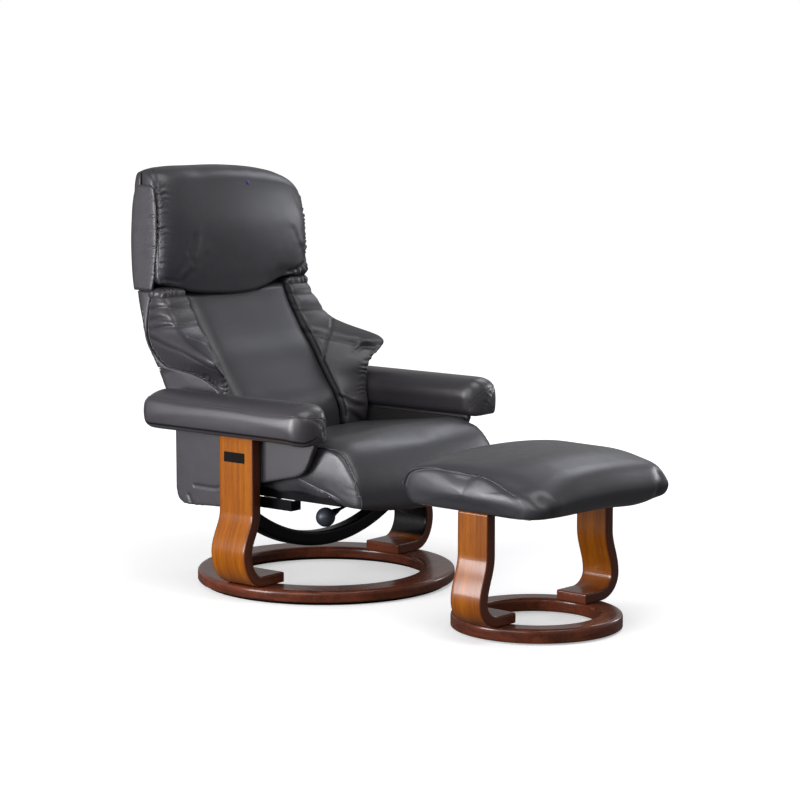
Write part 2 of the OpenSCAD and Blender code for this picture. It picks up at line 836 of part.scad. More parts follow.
// Shoulder bolts that the back turns on
module back_bolts() {
    color(bare_steel) mirror_pair() translate([0, pivot_y, pivot_z]) {
        pin_x(plate_x - touch - pivot_nut_t, track_bar_x + track_bar_t, pivot_d / 2);
        pin_x(track_bar_x + track_bar_t, track_bar_x + track_bar_t + pivot_head_h, pivot_head_d / 2);
        pin_x(plate_x - touch - pivot_nut_t, plate_x - touch, pivot_head_d / 2);
        pin_x(plate_x + plate_t + touch, track_bar_x, pivot_d * 0.7);
    }
}

// Seat frame: side tubes, three cross tubes and a slotted lug at each rear end
module square_tube_y(x, a, b) {
    translate([x, a, frame_low]) difference() {
        cube([tube_w, b - a, tube_w]);
        translate([frame_wall, -overrun, frame_wall])
            cube([tube_w - 2 * frame_wall, b - a + 2 * overrun, tube_w - 2 * frame_wall]);
    }
}

module cross_tube(y) {
    translate([-frame_half + tube_w, y, frame_low]) difference() {
        cube([2 * (frame_half - tube_w), tube_w, tube_w]);
        translate([-overrun, frame_wall, frame_wall])
            cube([2 * (frame_half - tube_w + overrun), tube_w - 2 * frame_wall, tube_w - 2 * frame_wall]);
    }
}

module seat_frame() {
    color(black_steel) {
        difference() {
            union() {
                for (x = [-frame_half, frame_half - tube_w]) square_tube_y(x, -frame_front, frame_rear);
                for (y = [-frame_front, -cross_front_y, cross_rear_y]) cross_tube(y);
                mirror_pair() translate([0, link_y, 0]) {
                    translate([0, 0, link_z]) pin_x(lug_x, lug_x + lug_t, lug_r);
                    translate([lug_x, -lug_r, frame_low]) cube([lug_t, 2 * lug_r, link_z - frame_low]);
                }
            }
            mirror_pair() for (z = [-link_rise / 2 - touch, link_rise / 2 + touch])
                translate([0, link_y, link_z - link_rise / 2 + z])
                    pin_x(lug_x - overrun, lug_x + lug_t + overrun, link_d / 2 + touch);
            mirror_pair() translate([lug_x - overrun, link_y, link_z - link_rise - touch])
                translate([0, -link_d / 2 - touch, 0])
                    cube([lug_t + 2 * overrun, link_d + 2 * touch, link_rise + 2 * touch]);
            translate([-lever_x, -lever_y, frame_low - overrun])
                cylinder(r = lever_bolt_d / 2 + seat_fit, h = tube_w + 2 * overrun);
        }
    }
}

module glide_blocks() {
    color(nylon) mirror_pair() for (y = [-block_front_y, block_rear_y - block_l])
        difference() {
            translate([rod_x - block_w / 2, y, block_low]) cube([block_w, block_l, frame_low - block_low]);
            translate([rod_x, y - overrun, rod_z]) rotate([-90, 0, 0])
                cylinder(r = rod_d / 2 + play, h = block_l + 2 * overrun);
        }
}

module seat_deck() {
    color(plywood) translate([-frame_half + deck_inset, -frame_front, frame_top])
        cube([2 * (frame_half - deck_inset), frame_front + seat_rear, deck_t]);
}

// Seat cushion: a side outline carried across, fullest in the middle
function seat_ring(share) = let (
    f = 1 - seat_crown_share * share * share - seat_edge_share * pow(abs(share), 16),
    g = 1 - seat_roll_share * share * share - seat_edge_share * pow(abs(share), 16),
    nose = -frame_front - touch,
    outline = eased([
        [nose, seat_low, touch],
        [nose - roll_drop * 0.4, seat_low - roll_drop * 0.9, roll_drop * 0.4],
        [-seat_front, seat_low - roll_drop, roll_drop * 0.5],
        [-seat_front * 0.96, seat_low + roll_drop, roll_drop * 1.2],
        [-seat_front * 0.75, seat_top + roll_drop * 0.4, roll_drop * 2.3],
        [seat_rear, seat_top - seat_fall, roll_drop * 0.8],
        [seat_rear, seat_low, touch]], 3))
    [for (p = outline) [share * seat_half,
        p[0] < nose - touch ? nose + g * (p[0] - nose) : p[0],
        p[1] > seat_low + overrun ? seat_low + (p[1] - seat_low) * (f + seat_crown_share)
            : seat_low + (p[1] - seat_low) * (1 + roll_hang_share * (1 - share * share))]];

module seat_cushion() {
    color(dark_leather) skin([for (share = seat_share_rows) seat_ring(share)]);
}

// Lever: hub on a bolt under the front cross tube, a sloping rod, a tapered neck and a ball
module at_lever() {
    translate([-lever_x, -lever_y, hub_z]) rotate([0, 180 - lever_slope, 0]) children();
}

module lever_bolt() {
    color(bare_steel) translate([-lever_x, -lever_y, hub_z - hub_t / 2 - touch - lever_head_h]) {
        cylinder(r = lever_head_d / 2, h = lever_head_h);
        cylinder(r = lever_bolt_d / 2, h = lever_head_h + touch + hub_t + touch + tube_w);
    }
}

module lever_arm() {
    color(black_steel) difference() {
        union() {
            translate([-lever_x, -lever_y, hub_z - hub_t / 2]) cylinder(r = hub_d / 2, h = hub_t);
            at_lever() pin_x(hub_d * 0.3, lever_l - knob_d / 2 + knob_grip, lever_d / 2);
            at_lever() translate([lever_l - knob_d / 2 - neck_l, 0, 0]) rotate([0, 90, 0])
                cylinder(r1 = lever_d / 2, r2 = neck_d / 2, h = neck_l * 0.93);
        }
        translate([-lever_x, -lever_y, hub_z - hub_t]) cylinder(r = lever_bolt_d / 2 + play, h = 2 * hub_t);
    }
}

module lever_knob() {
    color(black_steel) at_lever() translate([lever_l, 0, 0]) difference() {
        sphere(r = knob_d / 2);
        pin_x(-knob_d, knob_grip - knob_d / 2 + touch, lever_d / 2 + seat_fit);
    }
}

// Back: surfaces looked up by how far up the back a point is
function back_z(share) = back_low + share * back_h;
function reach(shares, share) = back_y + back_reach * lookup(share, [for (i = [0 : len(shares) - 1])
    [level_shares[i], shares[i]]]);
function front_y(share) = reach(front_shares, share);
function rear_y(share) = reach(rear_shares, share);
function shell_y(share) = reach(shell_shares, share);

module back_outline(rear_wall) {
    polygon(concat(
        [for (share = level_shares) [shell_y(share), back_z(share)]],
        [for (share = backwards(level_shares)) [rear_y(share) - rear_wall, back_z(share)]]));
}

module back_shell() {
    color(leather) difference() {
        slab_x(-back_half, back_half) back_outline(0);
        slab_x(-shell_in, shell_in) {
            back_outline(shell_wall);
            translate([0, back_low - overrun]) square([rear_y(0) - shell_wall, 2 * overrun]);
            translate([shell_y(1), back_top - overrun])
                square([rear_y(1) - shell_wall - shell_y(1), 2 * overrun]);
            polygon(concat(
                [for (share = level_shares) [shell_y(share) - 2 * overrun, back_z(share)]],
                [for (share = backwards(level_shares)) [shell_y(share) + overrun, back_z(share)]]));
        }
        mirror_pair() translate([0, pivot_y, pivot_z])
            pin_x(shell_in - overrun, back_half + overrun, pivot_shell_r);
    }
}

// Point at a depth behind the front surface, square to it
function front_way(share) = toward([front_y(share - 0.02), back_z(share - 0.02)],
    [front_y(share + 0.02), back_z(share + 0.02)]);
function behind(share, depth) = [front_y(share), back_z(share)]
    + depth * [front_way(share)[1], -front_way(share)[0]];
function frame_line() = concat([[link_y, link_z], [pivot_y, pivot_z]],
    [for (share = plate_shares) behind(share, plate_back)]);
head_hinge = behind(plate_shares[len(plate_shares) - 1], plate_back);
head_arm_l = head_arm_top - head_hinge[1];

module at_back(point) {
    translate([0, point[0], point[1]]) children();
}

// Half circle of radius r round point p, from the left of direction d to its right
function round_end(p, d, r) = [for (a = [75 : -15 : -75]) p + r * (cos(a) * d + sin(a) * [-d[1], d[0]])];

// Flat bar of width 2r that follows a row of points, with round ends
module bar_outline(points, r) {
    last = len(points) - 1;
    line = [for (p = points) [p[0], p[1], 2 * r]];
    polygon(concat(
        line_side(line, 1),
        round_end(points[last], toward(points[last - 1], points[last]), r),
        backwards(line_side(line, -1)),
        round_end(points[0], toward(points[1], points[0]), r)));
}

module plate_hole(r) {
    pin_x(plate_x - overrun, plate_x + plate_t + overrun, r);
}

module back_frame() {
    color(black_steel) difference() {
        union() {
            mirror_pair() slab_x(plate_x, plate_x + plate_t) bar_outline(frame_line(), plate_r);
            for (share = cross_shares) at_back(behind(share, plate_back))
                pin_x(-plate_x - overrun, plate_x + overrun, cross_tube_r);
        }
        mirror_pair() {
            at_back([pivot_y, pivot_z]) plate_hole(pivot_d / 2 + play);
            at_back([link_y, link_z]) plate_hole(link_d / 2 + seat_fit);
            at_back(head_hinge) plate_hole(hinge_d / 2 + seat_fit);
        }
    }
}

module link_pins() {
    color(bare_steel) mirror_pair() translate([0, link_y, link_z]) {
        pin_x(plate_x - plate_t / 2, lug_x + lug_t + overrun, link_d / 2);
        pin_x(plate_x - plate_t, plate_x, link_d * 0.8);
    }
}

// Elastic straps from plate to plate, lying against the centre panel
module web_set(slack) {
    for (share = web_shares) at_back(behind(share, panel_t - web_sink))
        rotate([-atan2(front_way(share)[0], front_way(share)[1]), 0, 0])
            translate([-plate_x, 0, -web_w / 2 - slack])
                cube([2 * plate_x, web_t + slack * web_w, web_w + 2 * slack]);
}

module back_webs() {
    color(felt) web_set(0);
}

// Centre panel: a flat oval section carried up the front of the back
function panel_ring(share) = let (
    up = min(share, 0.99),
    d = toward([front_y(up - 0.03), back_z(up - 0.03)], [front_y(up + 0.01), back_z(up + 0.01)]),
    end = min(1, min((share - 0.085) / 0.06, (1.012 - share) / 0.06)),
    f = 1 - 0.6 * pow(1 - end, 2),
    mid = [front_y(share), back_z(share)] + panel_t / 2 * [d[1], -d[0]])
    [for (a = [0 : 15 : 345]) let (
        x = panel_half * sign(cos(a)) * pow(abs(cos(a)), 0.3),
        t = panel_t / 2 * f * sign(sin(a)) * pow(abs(sin(a)), 0.6))
        [x, mid[0] - t * d[1], mid[1] + t * d[0]]];

module back_cushion() {
    color(dark_leather) difference() {
        skin([for (share = panel_rows) panel_ring(share)]);
        web_set(touch);
    }
}

// Wing: the bolster beside the centre panel, which flares forwards and outwards to a tip above the arm
function wing_ring(row) = let (
    z = back_z(row[0]), rear = shell_y(row[0]),
    side = back_half - touch,
    front = min(front_y(row[0]), rear - 2 * wing_corner),
    outline = eased([
        [wing_in, rear, wing_corner * 0.4],
        [side, rear, wing_corner * 0.4],
        [side + wing_out * row[2], front - wing_forward * row[1], wing_corner],
        [wing_in, front, wing_corner * 0.6]], 3))
    [for (p = outline) [p[0], p[1], z]];

module wing() {
    color(leather) skin([for (row = wing_shares) wing_ring(row)]);
}

module left_wing() {
    wing();
}

module right_wing() {
    mirror([1, 0, 0]) wing();
}

// Headrest: a board on two steel arms that turn on pins in the back's side plates
module headrest_board() {
    color(plywood) translate([-head_board_w / 2, head_board_y, head_board_low])
        cube([head_board_w, head_board_t, head_board_high - head_board_low]);
}

module headrest_arms() {
    x = plate_x - head_arm_t - touch;
    color(black_steel) mirror_pair() difference() {
        union() {
            at_back(head_hinge) pin_x(x, x + head_arm_t, hinge_r);
            translate([x, head_board_y - head_arm_w, head_hinge[1]])
                cube([head_arm_t, head_arm_w, head_arm_l]);
        }
        at_back(head_hinge) pin_x(x - overrun, x + head_arm_t + overrun, hinge_d / 2 + play);
    }
}

module hinge_pins() {
    x = plate_x - head_arm_t - touch;
    color(bare_steel) mirror_pair() at_back(head_hinge) {
        pin_x(x - head_arm_t / 2, plate_x + plate_t, hinge_d / 2);
        pin_x(x - head_arm_t / 2 - touch, x - touch, hinge_d * 0.8);
    }
}

function head_ring(share) = let (
    bulge = 1 - head_bulge_share * share * share - head_side_share * pow(abs(share), 20),
    crown = 1 - head_crown_share * share * share - head_corner_share * pow(abs(share), 10),
    deep = head_split - head_front, tall = head_top - head_low,
    lip = head_lip * max(0, 1 - pow(share * head_half / head_lip_w, 2)),
    outline = eased([
        [deep, 0, deep * 0.05], [deep * 0.18, 0, deep * 0.02], [deep * 0.12, -lip, deep * 0.02],
        [deep * 0.06, -lip * 0.9, deep * 0.02], [0, tall * 0.16, deep * 0.4],
        [deep * 0.06, tall * 0.7, deep * 0.5], [deep * 0.34, tall * 0.95, deep * 0.25],
        [deep * 0.8, tall, deep * 0.13], [deep, tall * 0.99, deep * 0.05]], 3))
    [for (p = outline) [share * head_half, head_split - (deep - p[0]) * bulge, head_low + p[1] * crown]];

module head_pillow() {
    color(dark_leather) difference() {
        skin([for (share = head_rows) head_ring(share)]);
        translate([-head_board_w / 2 - touch, head_board_y, head_board_low - touch])
            cube([head_board_w + 2 * touch, head_board_t + overrun,
                head_board_high - head_board_low + 2 * touch]);
        stud_form(touch);
        mirror_pair() translate([plate_x - head_arm_t - 2 * touch, head_board_y, head_low - overrun])
            translate([0, -head_arm_w - touch, 0])
                cube([head_arm_t + 2 * touch, head_arm_w + 2 * touch,
                    head_arm_top + touch + overrun - head_low]);
    }
}

function flap_ring(share) = let (
    f = 1 - 0.25 * pow(abs(share), 10),
    crown = 1 - head_crown_share * share * share - head_corner_share * pow(abs(share), 10),
    deep = head_rear - head_split, tall = flap_top - flap_low,
    outline = eased([
        [0, 0, deep * 0.1], [0, tall, deep * 0.1], [deep * 0.7, tall * 0.99, deep * 0.4],
        [deep, tall * 0.8, deep * 0.8], [deep, 0, deep * 0.3]], 3))
    [for (p = outline) [share * (head_half - 2 * touch), head_split + p[0] * f, flap_low + p[1] * crown]];

module head_flap() {
    color(leather) skin([for (share = head_rows) flap_ring(share)]);
}

module stud_form(slack) {
    translate([stud_x, head_front + stud_back, head_top - stud_down]) rotate([90 - stud_tilt, 0, 0])
        translate([0, 0, -stud_sink - slack])
            cylinder(r = stud_d / 2 + slack, h = stud_t + slack, $fn = 32);
}

module head_stud() {
    color(stud_blue) stud_form(0);
}

// Footstool, turned a little on the floor in front of the chair
module at_stool() {
    translate([-stool_x, -stool_y, 0]) rotate([0, 0, stool_turn]) children();
}

module stool_glides() {
    color(felt) at_stool() for (i = [0 : stool_glide_count - 1]) rotate([0, 0, i * 360 / stool_glide_count])
        translate([(stool_ring_r + stool_hole_r) / 2, 0, 0])
            cylinder(r = stool_glide_d / 2, h = stool_glide_h);
}

module stool_ring() {
    color(red_wood) at_stool() difference() {
        rotate_extrude($fn = 128)
            ring_section(stool_hole_r, stool_ring_r, stool_glide_h, stool_ring_top, ring_edge_r);
        at_foot_bolts(stool_bolt_x, stool_bolt_y) {
            cylinder(r = foot_bolt_d / 2 + seat_fit, h = stool_ring_top + overrun);
            cylinder(r = foot_bolt_head_d / 2 + touch, h = stool_glide_h + touch + foot_bolt_head_h);
        }
    }
}

module stool_leg() {
    difference() {
        bent_leg(leg_line(stool_leg_out, stool_bulge, stool_bulge_z, stool_bend_top, stool_heel, stool_tip,
            stool_leg_t, stool_foot_t, stool_board_z, stool_ring_top), stool_leg_w);
        at_foot_bolts(stool_bolt_x, stool_bolt_y)
            cylinder(r = foot_bolt_d / 2 + seat_fit, h = stool_ring_top + foot_bolt_up + touch);
        for (y = [-1, 1]) translate([stool_leg_out - stool_leg_t / 2, y * stool_board_bolt_y, stool_board_z])
            translate([0, 0, -stool_board_bolt_l])
                cylinder(r = arm_bolt_d / 2 + seat_fit, h = stool_board_bolt_l + overrun);
    }
}

module stool_left_leg() {
    color(amber_wood) at_stool() stool_leg();
}

module stool_right_leg() {
    color(amber_wood) at_stool() mirror([1, 0, 0]) stool_leg();
}

module stool_foot_bolts() {
    color(bare_steel) at_stool() at_foot_bolts(stool_bolt_x, stool_bolt_y)
        translate([0, 0, stool_glide_h + touch]) {
            cylinder(r = foot_bolt_head_d / 2, h = foot_bolt_head_h);
            cylinder(r = foot_bolt_d / 2, h = stool_ring_top - stool_glide_h - touch + foot_bolt_up);
        }
}

module stool_board() {
    color(plywood) at_stool() difference() {
        translate([-stool_board_w / 2, -stool_board_d / 2, stool_board_z])
            cube([stool_board_w, stool_board_d, stool_board_t]);
        mirror_pair() for (y = [-1, 1])
            translate([stool_leg_out - stool_leg_t / 2, y * stool_board_bolt_y, stool_board_z]) {
                translate([0, 0, -overrun]) cylinder(r = arm_bolt_d / 2 + seat_fit, h = stool_board_t);
                translate([0, 0, stool_board_t - arm_bolt_head_h])
                    cylinder(r = arm_bolt_head_d / 2 + touch, h = stool_board_t);
            }
    }
}

module stool_board_bolts() {
    color(bare_steel) at_stool() mirror_pair() for (y = [-1, 1])
        translate([stool_leg_out - stool_leg_t / 2, y * stool_board_bolt_y, stool_board_z]) {
            translate([0, 0, touch - stool_board_bolt_l])
                cylinder(r = arm_bolt_d / 2, h = stool_board_bolt_l + stool_board_t - arm_bolt_head_h);
            translate([0, 0, stool_board_t - arm_bolt_head_h])
                cylinder(r = arm_bolt_head_d / 2, h = arm_bolt_head_h);
        }
}

// Footstool cushion: a side outline carried across, highest in the middle
function stool_ring_at(share) = let (
    f = 1 - stool_edge_share * share * share - stool_edge_share * pow(abs(share), 16),
    g = 1 - stool_crown_share * share * share - stool_edge_share * pow(abs(share), 16),
    outline = eased([
        [-stool_d * 0.44, 0, stool_h * 0.16],
        [-stool_d * 0.5, stool_h * 0.3, stool_h * 0.2],
        [-stool_d * 0.36, stool_h * 0.72, stool_h * 0.3],
        [-stool_d * 0.12, stool_h * 0.99, stool_h * 0.3],
        [stool_d * 0.34, stool_h, stool_h * 0.35],
        [stool_d * 0.5, stool_h * 0.76, stool_h * 0.25],
        [stool_d * 0.515, stool_h * 0.3, stool_h * 0.2],
        [stool_d * 0.45, 0, stool_h * 0.12]], 3))
    [for (p = outline) [share * stool_w / 2, p[0] * f, stool_board_z + p[1] * g]];

module stool_cushion() {
    color(dark_leather) at_stool() difference() {
        skin([for (share = stool_rows) stool_ring_at(share)]);
        translate([-stool_board_w / 2 - touch, -stool_board_d / 2 - touch, stool_board_z - overrun])
            cube([stool_board_w + 2 * touch, stool_board_d + 2 * touch, stool_board_t + overrun + touch]);
    }
}

floor_race();
race_balls();
upper_race();
race_screws();
ring_base();
right_leg();
left_leg();
foot_bolts();
label_plate();
bow();
right_track();
left_track();
track_bolts();
right_rod();
left_rod();
right_arm_board();
left_arm_board();
arm_bolts();
right_arm_pad();
left_arm_pad();
right_side_board();
left_side_board();
right_side_cover();
left_side_cover();
back_bolts();
seat_frame();
glide_blocks();
seat_deck();
seat_cushion();
lever_bolt();
lever_arm();
lever_knob();
back_frame();
link_pins();
back_webs();
back_shell();
back_cushion();
right_wing();
left_wing();
headrest_board();
headrest_arms();
hinge_pins();
head_pillow();
head_flap();
head_stud();
stool_glides();
stool_ring();
stool_right_leg();
stool_left_leg();
stool_foot_bolts();
stool_board();
stool_board_bolts();
stool_cushion();
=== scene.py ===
"""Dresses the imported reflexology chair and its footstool: leather cushions, lacquered wood and painted steel.

Shape functions work in millimetres, in the frame's own axes: the origin is on the floor at the swivel axis,
the sitter faces -Y and +X is the sitter's left. Meshes are made in metres.
"""

import bpy
import numpy as np
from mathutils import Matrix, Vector


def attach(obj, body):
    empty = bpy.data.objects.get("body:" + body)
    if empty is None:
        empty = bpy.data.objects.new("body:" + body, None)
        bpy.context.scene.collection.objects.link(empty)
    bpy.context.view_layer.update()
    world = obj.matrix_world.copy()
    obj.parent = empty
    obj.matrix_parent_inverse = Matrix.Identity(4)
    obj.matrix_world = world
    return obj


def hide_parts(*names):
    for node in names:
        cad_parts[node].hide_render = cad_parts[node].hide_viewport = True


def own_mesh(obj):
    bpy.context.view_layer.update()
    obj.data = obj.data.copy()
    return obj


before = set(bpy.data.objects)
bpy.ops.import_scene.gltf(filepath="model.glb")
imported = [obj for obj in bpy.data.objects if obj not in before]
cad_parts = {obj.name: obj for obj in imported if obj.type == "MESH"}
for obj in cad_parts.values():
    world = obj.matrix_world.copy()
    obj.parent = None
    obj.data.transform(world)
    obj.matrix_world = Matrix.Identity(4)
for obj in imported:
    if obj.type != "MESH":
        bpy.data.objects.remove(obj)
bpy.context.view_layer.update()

bl_info = {
    "name": "Reflexology chair",
    "version": (1, 0, 0),
    "blender": (4, 5, 0),
    "location": "3D View > Sidebar > Chair",
    "description": "Builds the upholstery, wood and steel finishes of a reclining chair and its footstool",
    "category": "Object",
}

MM = 0.001
FINISH = "finish_"
SIDES = (("left", 1), ("right", -1))
CORNER_STEPS = 10
CORD_RINGS = 220
CORD_SIDES = 10

# Camera: where the photograph was taken from, in metres, and its lens
CAMERA_AT = (-5.2657, -4.5170, 1.4367)
CAMERA_AIM = (0.1237, -0.1528, 0.4837)
CAMERA_LENS = 118.84
CAMERA_SENSOR = 36

# Stage: how pale the floor is for the camera and for other rays, its size and level in millimetres, and where its
# glow rises, in metres
FLOOR_SEEN = (0.8, 0.8, 0.8)
FLOOR_UNSEEN = (0.15, 0.15, 0.15)
FLOOR_HALF = 30000
FLOOR_DROP = -0.5
FLOOR_MIDDLE = (0, -0.3, 0)
FLOOR_FADE = (0.8, 2.2)
FLOOR_GLOW = (0.42, 0.8)
WORLD_LEVEL = 0.35
WORLD_GLOSSY = 0.17
# Lamps [name, place, aim, size, power, tint], in metres and watts
LAMPS = (
    ("left_window", (-3.2, -0.5, 1.5), (0, 0, 0.6), (3.0, 1.5), 41, (1, 0.99, 1)),
    ("left_low_strip", (-2.9, 0.95, 0.75), (0, -0.1, 0.5), (1.2, 1.0), 66, (0.98, 0.97, 1)),
    ("right_box", (2.8, 0.0, 2.7), (0, -0.5, 0.4), (1.2, 1.2), 14, (0.9, 0.92, 1)),
    ("right_front_strip", (3.2, -1.15, 1.25), (0, 0.2, 0.95), (0.7, 0.9), 16, (0.92, 0.93, 1)),
    ("top_box", (-0.4, -1.7, 3.2), (0, -0.2, 0.5), (2.2, 2.2), 44, (0.98, 0.98, 1)))

# Finishes with a fine speckle [name, colour, roughness, metal, speckles for each metre, bump, variation, shine],
# woven ones [name, colour, threads] and boards [name, colour]
SPECKLED = (
    ("black_paint", (0.003, 0.003, 0.004), 0.3, 0.0, 1100.0, 0.1, 0.15, 0.16),
    ("bare_steel", (0.42, 0.42, 0.43), 0.3, 1.0, 500.0, 0.08, 0.15, 0.5),
    ("nylon", (0.65, 0.63, 0.58), 0.5, 0.0, 300.0, 0.06, 0.15, 0.5),
    ("knob_plastic", (0.028, 0.033, 0.046), 0.42, 0.0, 420.0, 0.35, 0.3, 0.5),
    ("stud_plastic", (0.045, 0.042, 0.2), 0.35, 0.0, 600.0, 0.08, 0.15, 0.5),
    ("label_plastic", (0.003, 0.003, 0.003), 0.45, 0.0, 900.0, 0.1, 0.15, 0.1))
WOVEN = (("webbing", (0.03, 0.03, 0.032), 2400.0), ("felt", (0.05, 0.045, 0.04), 3200.0))
BOARDS = (("plywood", (0.55, 0.38, 0.2)), ("dark_board", (0.02, 0.018, 0.018)))

# CAD nodes that keep their shape, by finish
REPAINTED = {
    "black_paint": ("floor_race", "upper_race", "right_track", "left_track", "seat_frame", "lever_arm", "back_frame",
                    "headrest_arms", "right_rod", "left_rod"),
    "bare_steel": ("race_balls", "race_screws", "foot_bolts", "track_bolts", "arm_bolts", "back_bolts", "lever_bolt",
                   "link_pins", "hinge_pins", "stool_foot_bolts", "stool_board_bolts"),
    "plywood": ("headrest_board", "stool_board"),
    "dark_board": ("right_arm_board", "left_arm_board", "right_side_board", "left_side_board", "seat_deck"),
    "nylon": ("glide_blocks",),
    "knob_plastic": ("lever_knob",),
    "label_plastic": ("label_plate",),
    "webbing": ("back_webs",),
    "felt": ("stool_glides",),
}

# Cloth: its settings and how long it is blown up
CLOTH = {"quality": 5, "use_pressure": True, "uniform_pressure_force": 4.0, "tension_stiffness": 40,
         "compression_stiffness": 40, "bending_stiffness": 2}
CLOTH_FRAMES = 20

# Legs [out, bulge, bulge height, bend height, heel, tip, thickness, foot thickness, top, floor, width]
CHAIR_LEG = (355, 388, 126, 232, 314, 235, 31, 27, 432, 38, 117)
STOOL_LEG = (246, 272, 100, 214, 200, 137, 30, 26, 317, 38, 95)
LEG_ROUND = 4
# Legs turn darker red-brown towards the foot: where that starts, before the leg's end, and the length over which it
# comes in, in millimetres
DARKER_FOOT_FROM = 150
DARKER_FOOT_OVER = 110
# Painted shadow, black, on the inner faces of the chair's legs: its colour, and the running length from the top to its
# end
PAINTED_SHADOW = (0.005, 0.004, 0.004)
PAINTED_SHADOW_TO = 395
STOOL_AT = (-107, -772)
STOOL_TURN = -2.8

# Rings [hole radius, outer radius, low, high]
CHAIR_RING = (256, 343, 8.6, 38)
STOOL_RING = (152, 212, 4, 38)

# Bow: radius at the middle of the tube, height of its centre, tube depth and width, half span, and its end plates
# [thickness, width, low, high]
BOW_R = 534.16
BOW_CENTRE = 652.22
BOW_TUBE = (38, 40)
BOW_HALF = 320
BOW_PLATE = (4, 74, 200, 298)
PLATE_ROUND = 1.2

# Arm [middle x, middle y, middle z, width, height, length]
ARM = (351, 5, 481.5, 122, 99, 566)
ARM_ROUND_FRONT = 48
ARM_ROUND_REAR = 30
ARM_ROUND_SIDE = 42
ARM_DROOP = 4
# Seams of the left arm pad, along its top edge and down its front
ARM_SEAM = ((316, 279, 516), (371, 284, 512), (400, 264, 515), (406, 180, 512), (406, 30, 508), (405, -144, 504),
            (404, -200, 503), (400, -246, 505), (391, -268, 506), (371, -276, 504), (341, -276, 499),
            (321, -270, 487), (306, -256, 466), (297, -238, 440))
ARM_CAP = ((400, -262, 503), (376, -274, 498), (358, -277, 490), (340, -276, 472), (330, -274, 452), (322, -268, 428))

# Left side cover: voxel size in metres, rounds of smoothing, its hem, its pleat and the gathers beside the pleat
SIDE_VOXEL = 0.0035
SIDE_SMOOTH = 6
SIDE_HEM = ((322, 178, 277), (322, 120, 279), (322, 40, 282))
SIDE_PLEAT = ((322, 196, 250), (322, 188, 232), (322, 184, 214))
SIDE_GATHERS = ((322, 236, 240), (322, 200, 233), (322, 150, 222))

# Seat [half width, low, top, front, rear, roll drop, nose], and how far its top falls to the rear
SEAT = (287, 296, 421, 384, 98, 32, 288.3)
SEAT_FALL = 34
SEAT_LIP = 12
# Piping seam of the seat's left side, the puckers under it, and the seam under the front roll
SEAT_SEAM = ((285, 90, 392), (285, -20, 398), (285, -120, 405), (285, -200, 411), (285, -253, 413), (285, -284, 414),
             (285, -301, 407), (285, -314, 392), (285, -332, 356), (285, -340, 329), (285, -349, 304),
             (285, -358, 286), (285, -352, 272))
SEAT_PUCKERS = ((290, -170, 300), (290, -240, 300), (290, -320, 290))
SEAT_FRONT = ((-280, -372, 262), (0, -384, 258), (280, -372, 262))

# Back: places up the back and how far back each surface lies there
BACK_LOW = 320
BACK_HIGH = 770
BACK_Y = 104
BACK_REACH = 312
LEVELS = np.array([0, 0.14, 0.25, 0.35, 0.44, 0.53, 0.62, 0.73, 0.84, 0.94, 1])
FRONTS = np.array([0, 0, 0.02, 0.085, 0.175, 0.26, 0.34, 0.455, 0.56, 0.64, 0.675])
REARS = np.array([0.35, 0.425, 0.52, 0.61, 0.685, 0.75, 0.825, 0.905, 0.95, 0.985, 1.0])
SHELLS = np.array([0.075, 0.075, 0.08, 0.165, 0.27, 0.385, 0.5, 0.62, 0.7, 0.75, 0.77])
BACK_HALF = 286
SHELL_WALL = 12
PANEL_HALF = 200
PANEL_THICK = 45
WING_FORWARD = 140
WING_OUT = 60
WING_ROWS = np.array([
    [0.15, 0.04, 0], [0.2, 0.08, 0], [0.25, 0.13, 0], [0.3, 0.18, 0], [0.35, 0.26, 0],
    [0.4, 0.37, 0], [0.44, 0.48, 0], [0.485, 0.61, 0], [0.53, 0.74, 0.2], [0.565, 0.84, 0.5],
    [0.6, 0.93, 0.8], [0.62, 0.98, 0.95], [0.64, 1, 1], [0.655, 0.96, 1], [0.67, 0.86, 0.95],
    [0.685, 0.72, 0.85], [0.7, 0.58, 0.72], [0.715, 0.45, 0.6], [0.73, 0.35, 0.5], [0.765, 0.2, 0.33],
    [0.84, 0.08, 0.18], [0.9, 0.05, 0.1], [0.94, 0.03, 0.05], [0.975, 0.02, 0.02], [0.99, 0.01, 0]])
# Seam between a wing and the shell, on the side: levels, and how far back it lies there
SEAM_LEVELS = np.array([0, 0.3, 0.42, 0.46, 0.5, 0.53, 0.548, 0.56, 0.585, 0.63, 0.69, 0.75, 0.84, 0.93, 1.05])
SEAM_YS = np.array([127, 122, 115, 120, 155, 190, 232, 285, 318, 346, 368, 377, 375, 367, 350])
WING_TOP = 1.0
WING_PROUD = 6
WING_DOME = 0.96

# Seams, folds [height, width] and gathers [pitch, reach, size] of the wings, given for the left one
WING_DARTS = (
    [(289, 223, 659), (247, 195, 630), (229, 191, 613), (206, 184, 564)],)
WING_ROLLS = (
    (12, 4.6, [(366, 664), (330, 659), (285, 650), (212, 641), (160, 626), (95, 606)]),
    (9, 3.2, [(372, 678), (335, 688), (290, 697), (250, 700), (200, 690)]),
    (9, 2.6, [(372, 706), (319, 717), (276, 712), (243, 704)]),
    (8, 2.4, [(374, 732), (332, 742), (303, 744), (257, 736)]))
WING_FOLDS = (
    (2.4, 8, [(266, 130, 584), (299, 114, 604), (321, 86, 590)]),
    (2.0, 6, [(290, 93, 564), (311, 84, 577), (328, 82, 594)]),
    (3.4, 8, [(204, 129, 473), (226, 104, 453), (273, 88, 440)]),
    (2.8, 10, [(212, 102, 437), (250, 91, 410), (278, 97, 388)]))
WING_GATHERS = (
    (15, 20, 1.2, [(300, 229, 581), (291, 179, 564), (286, 123, 535), (285, 94, 522)]),
    (14, 15, 0.8, [(334, 70, 596), (300, 92, 560), (282, 92, 541), (273, 100, 502), (268, 95, 460)]))

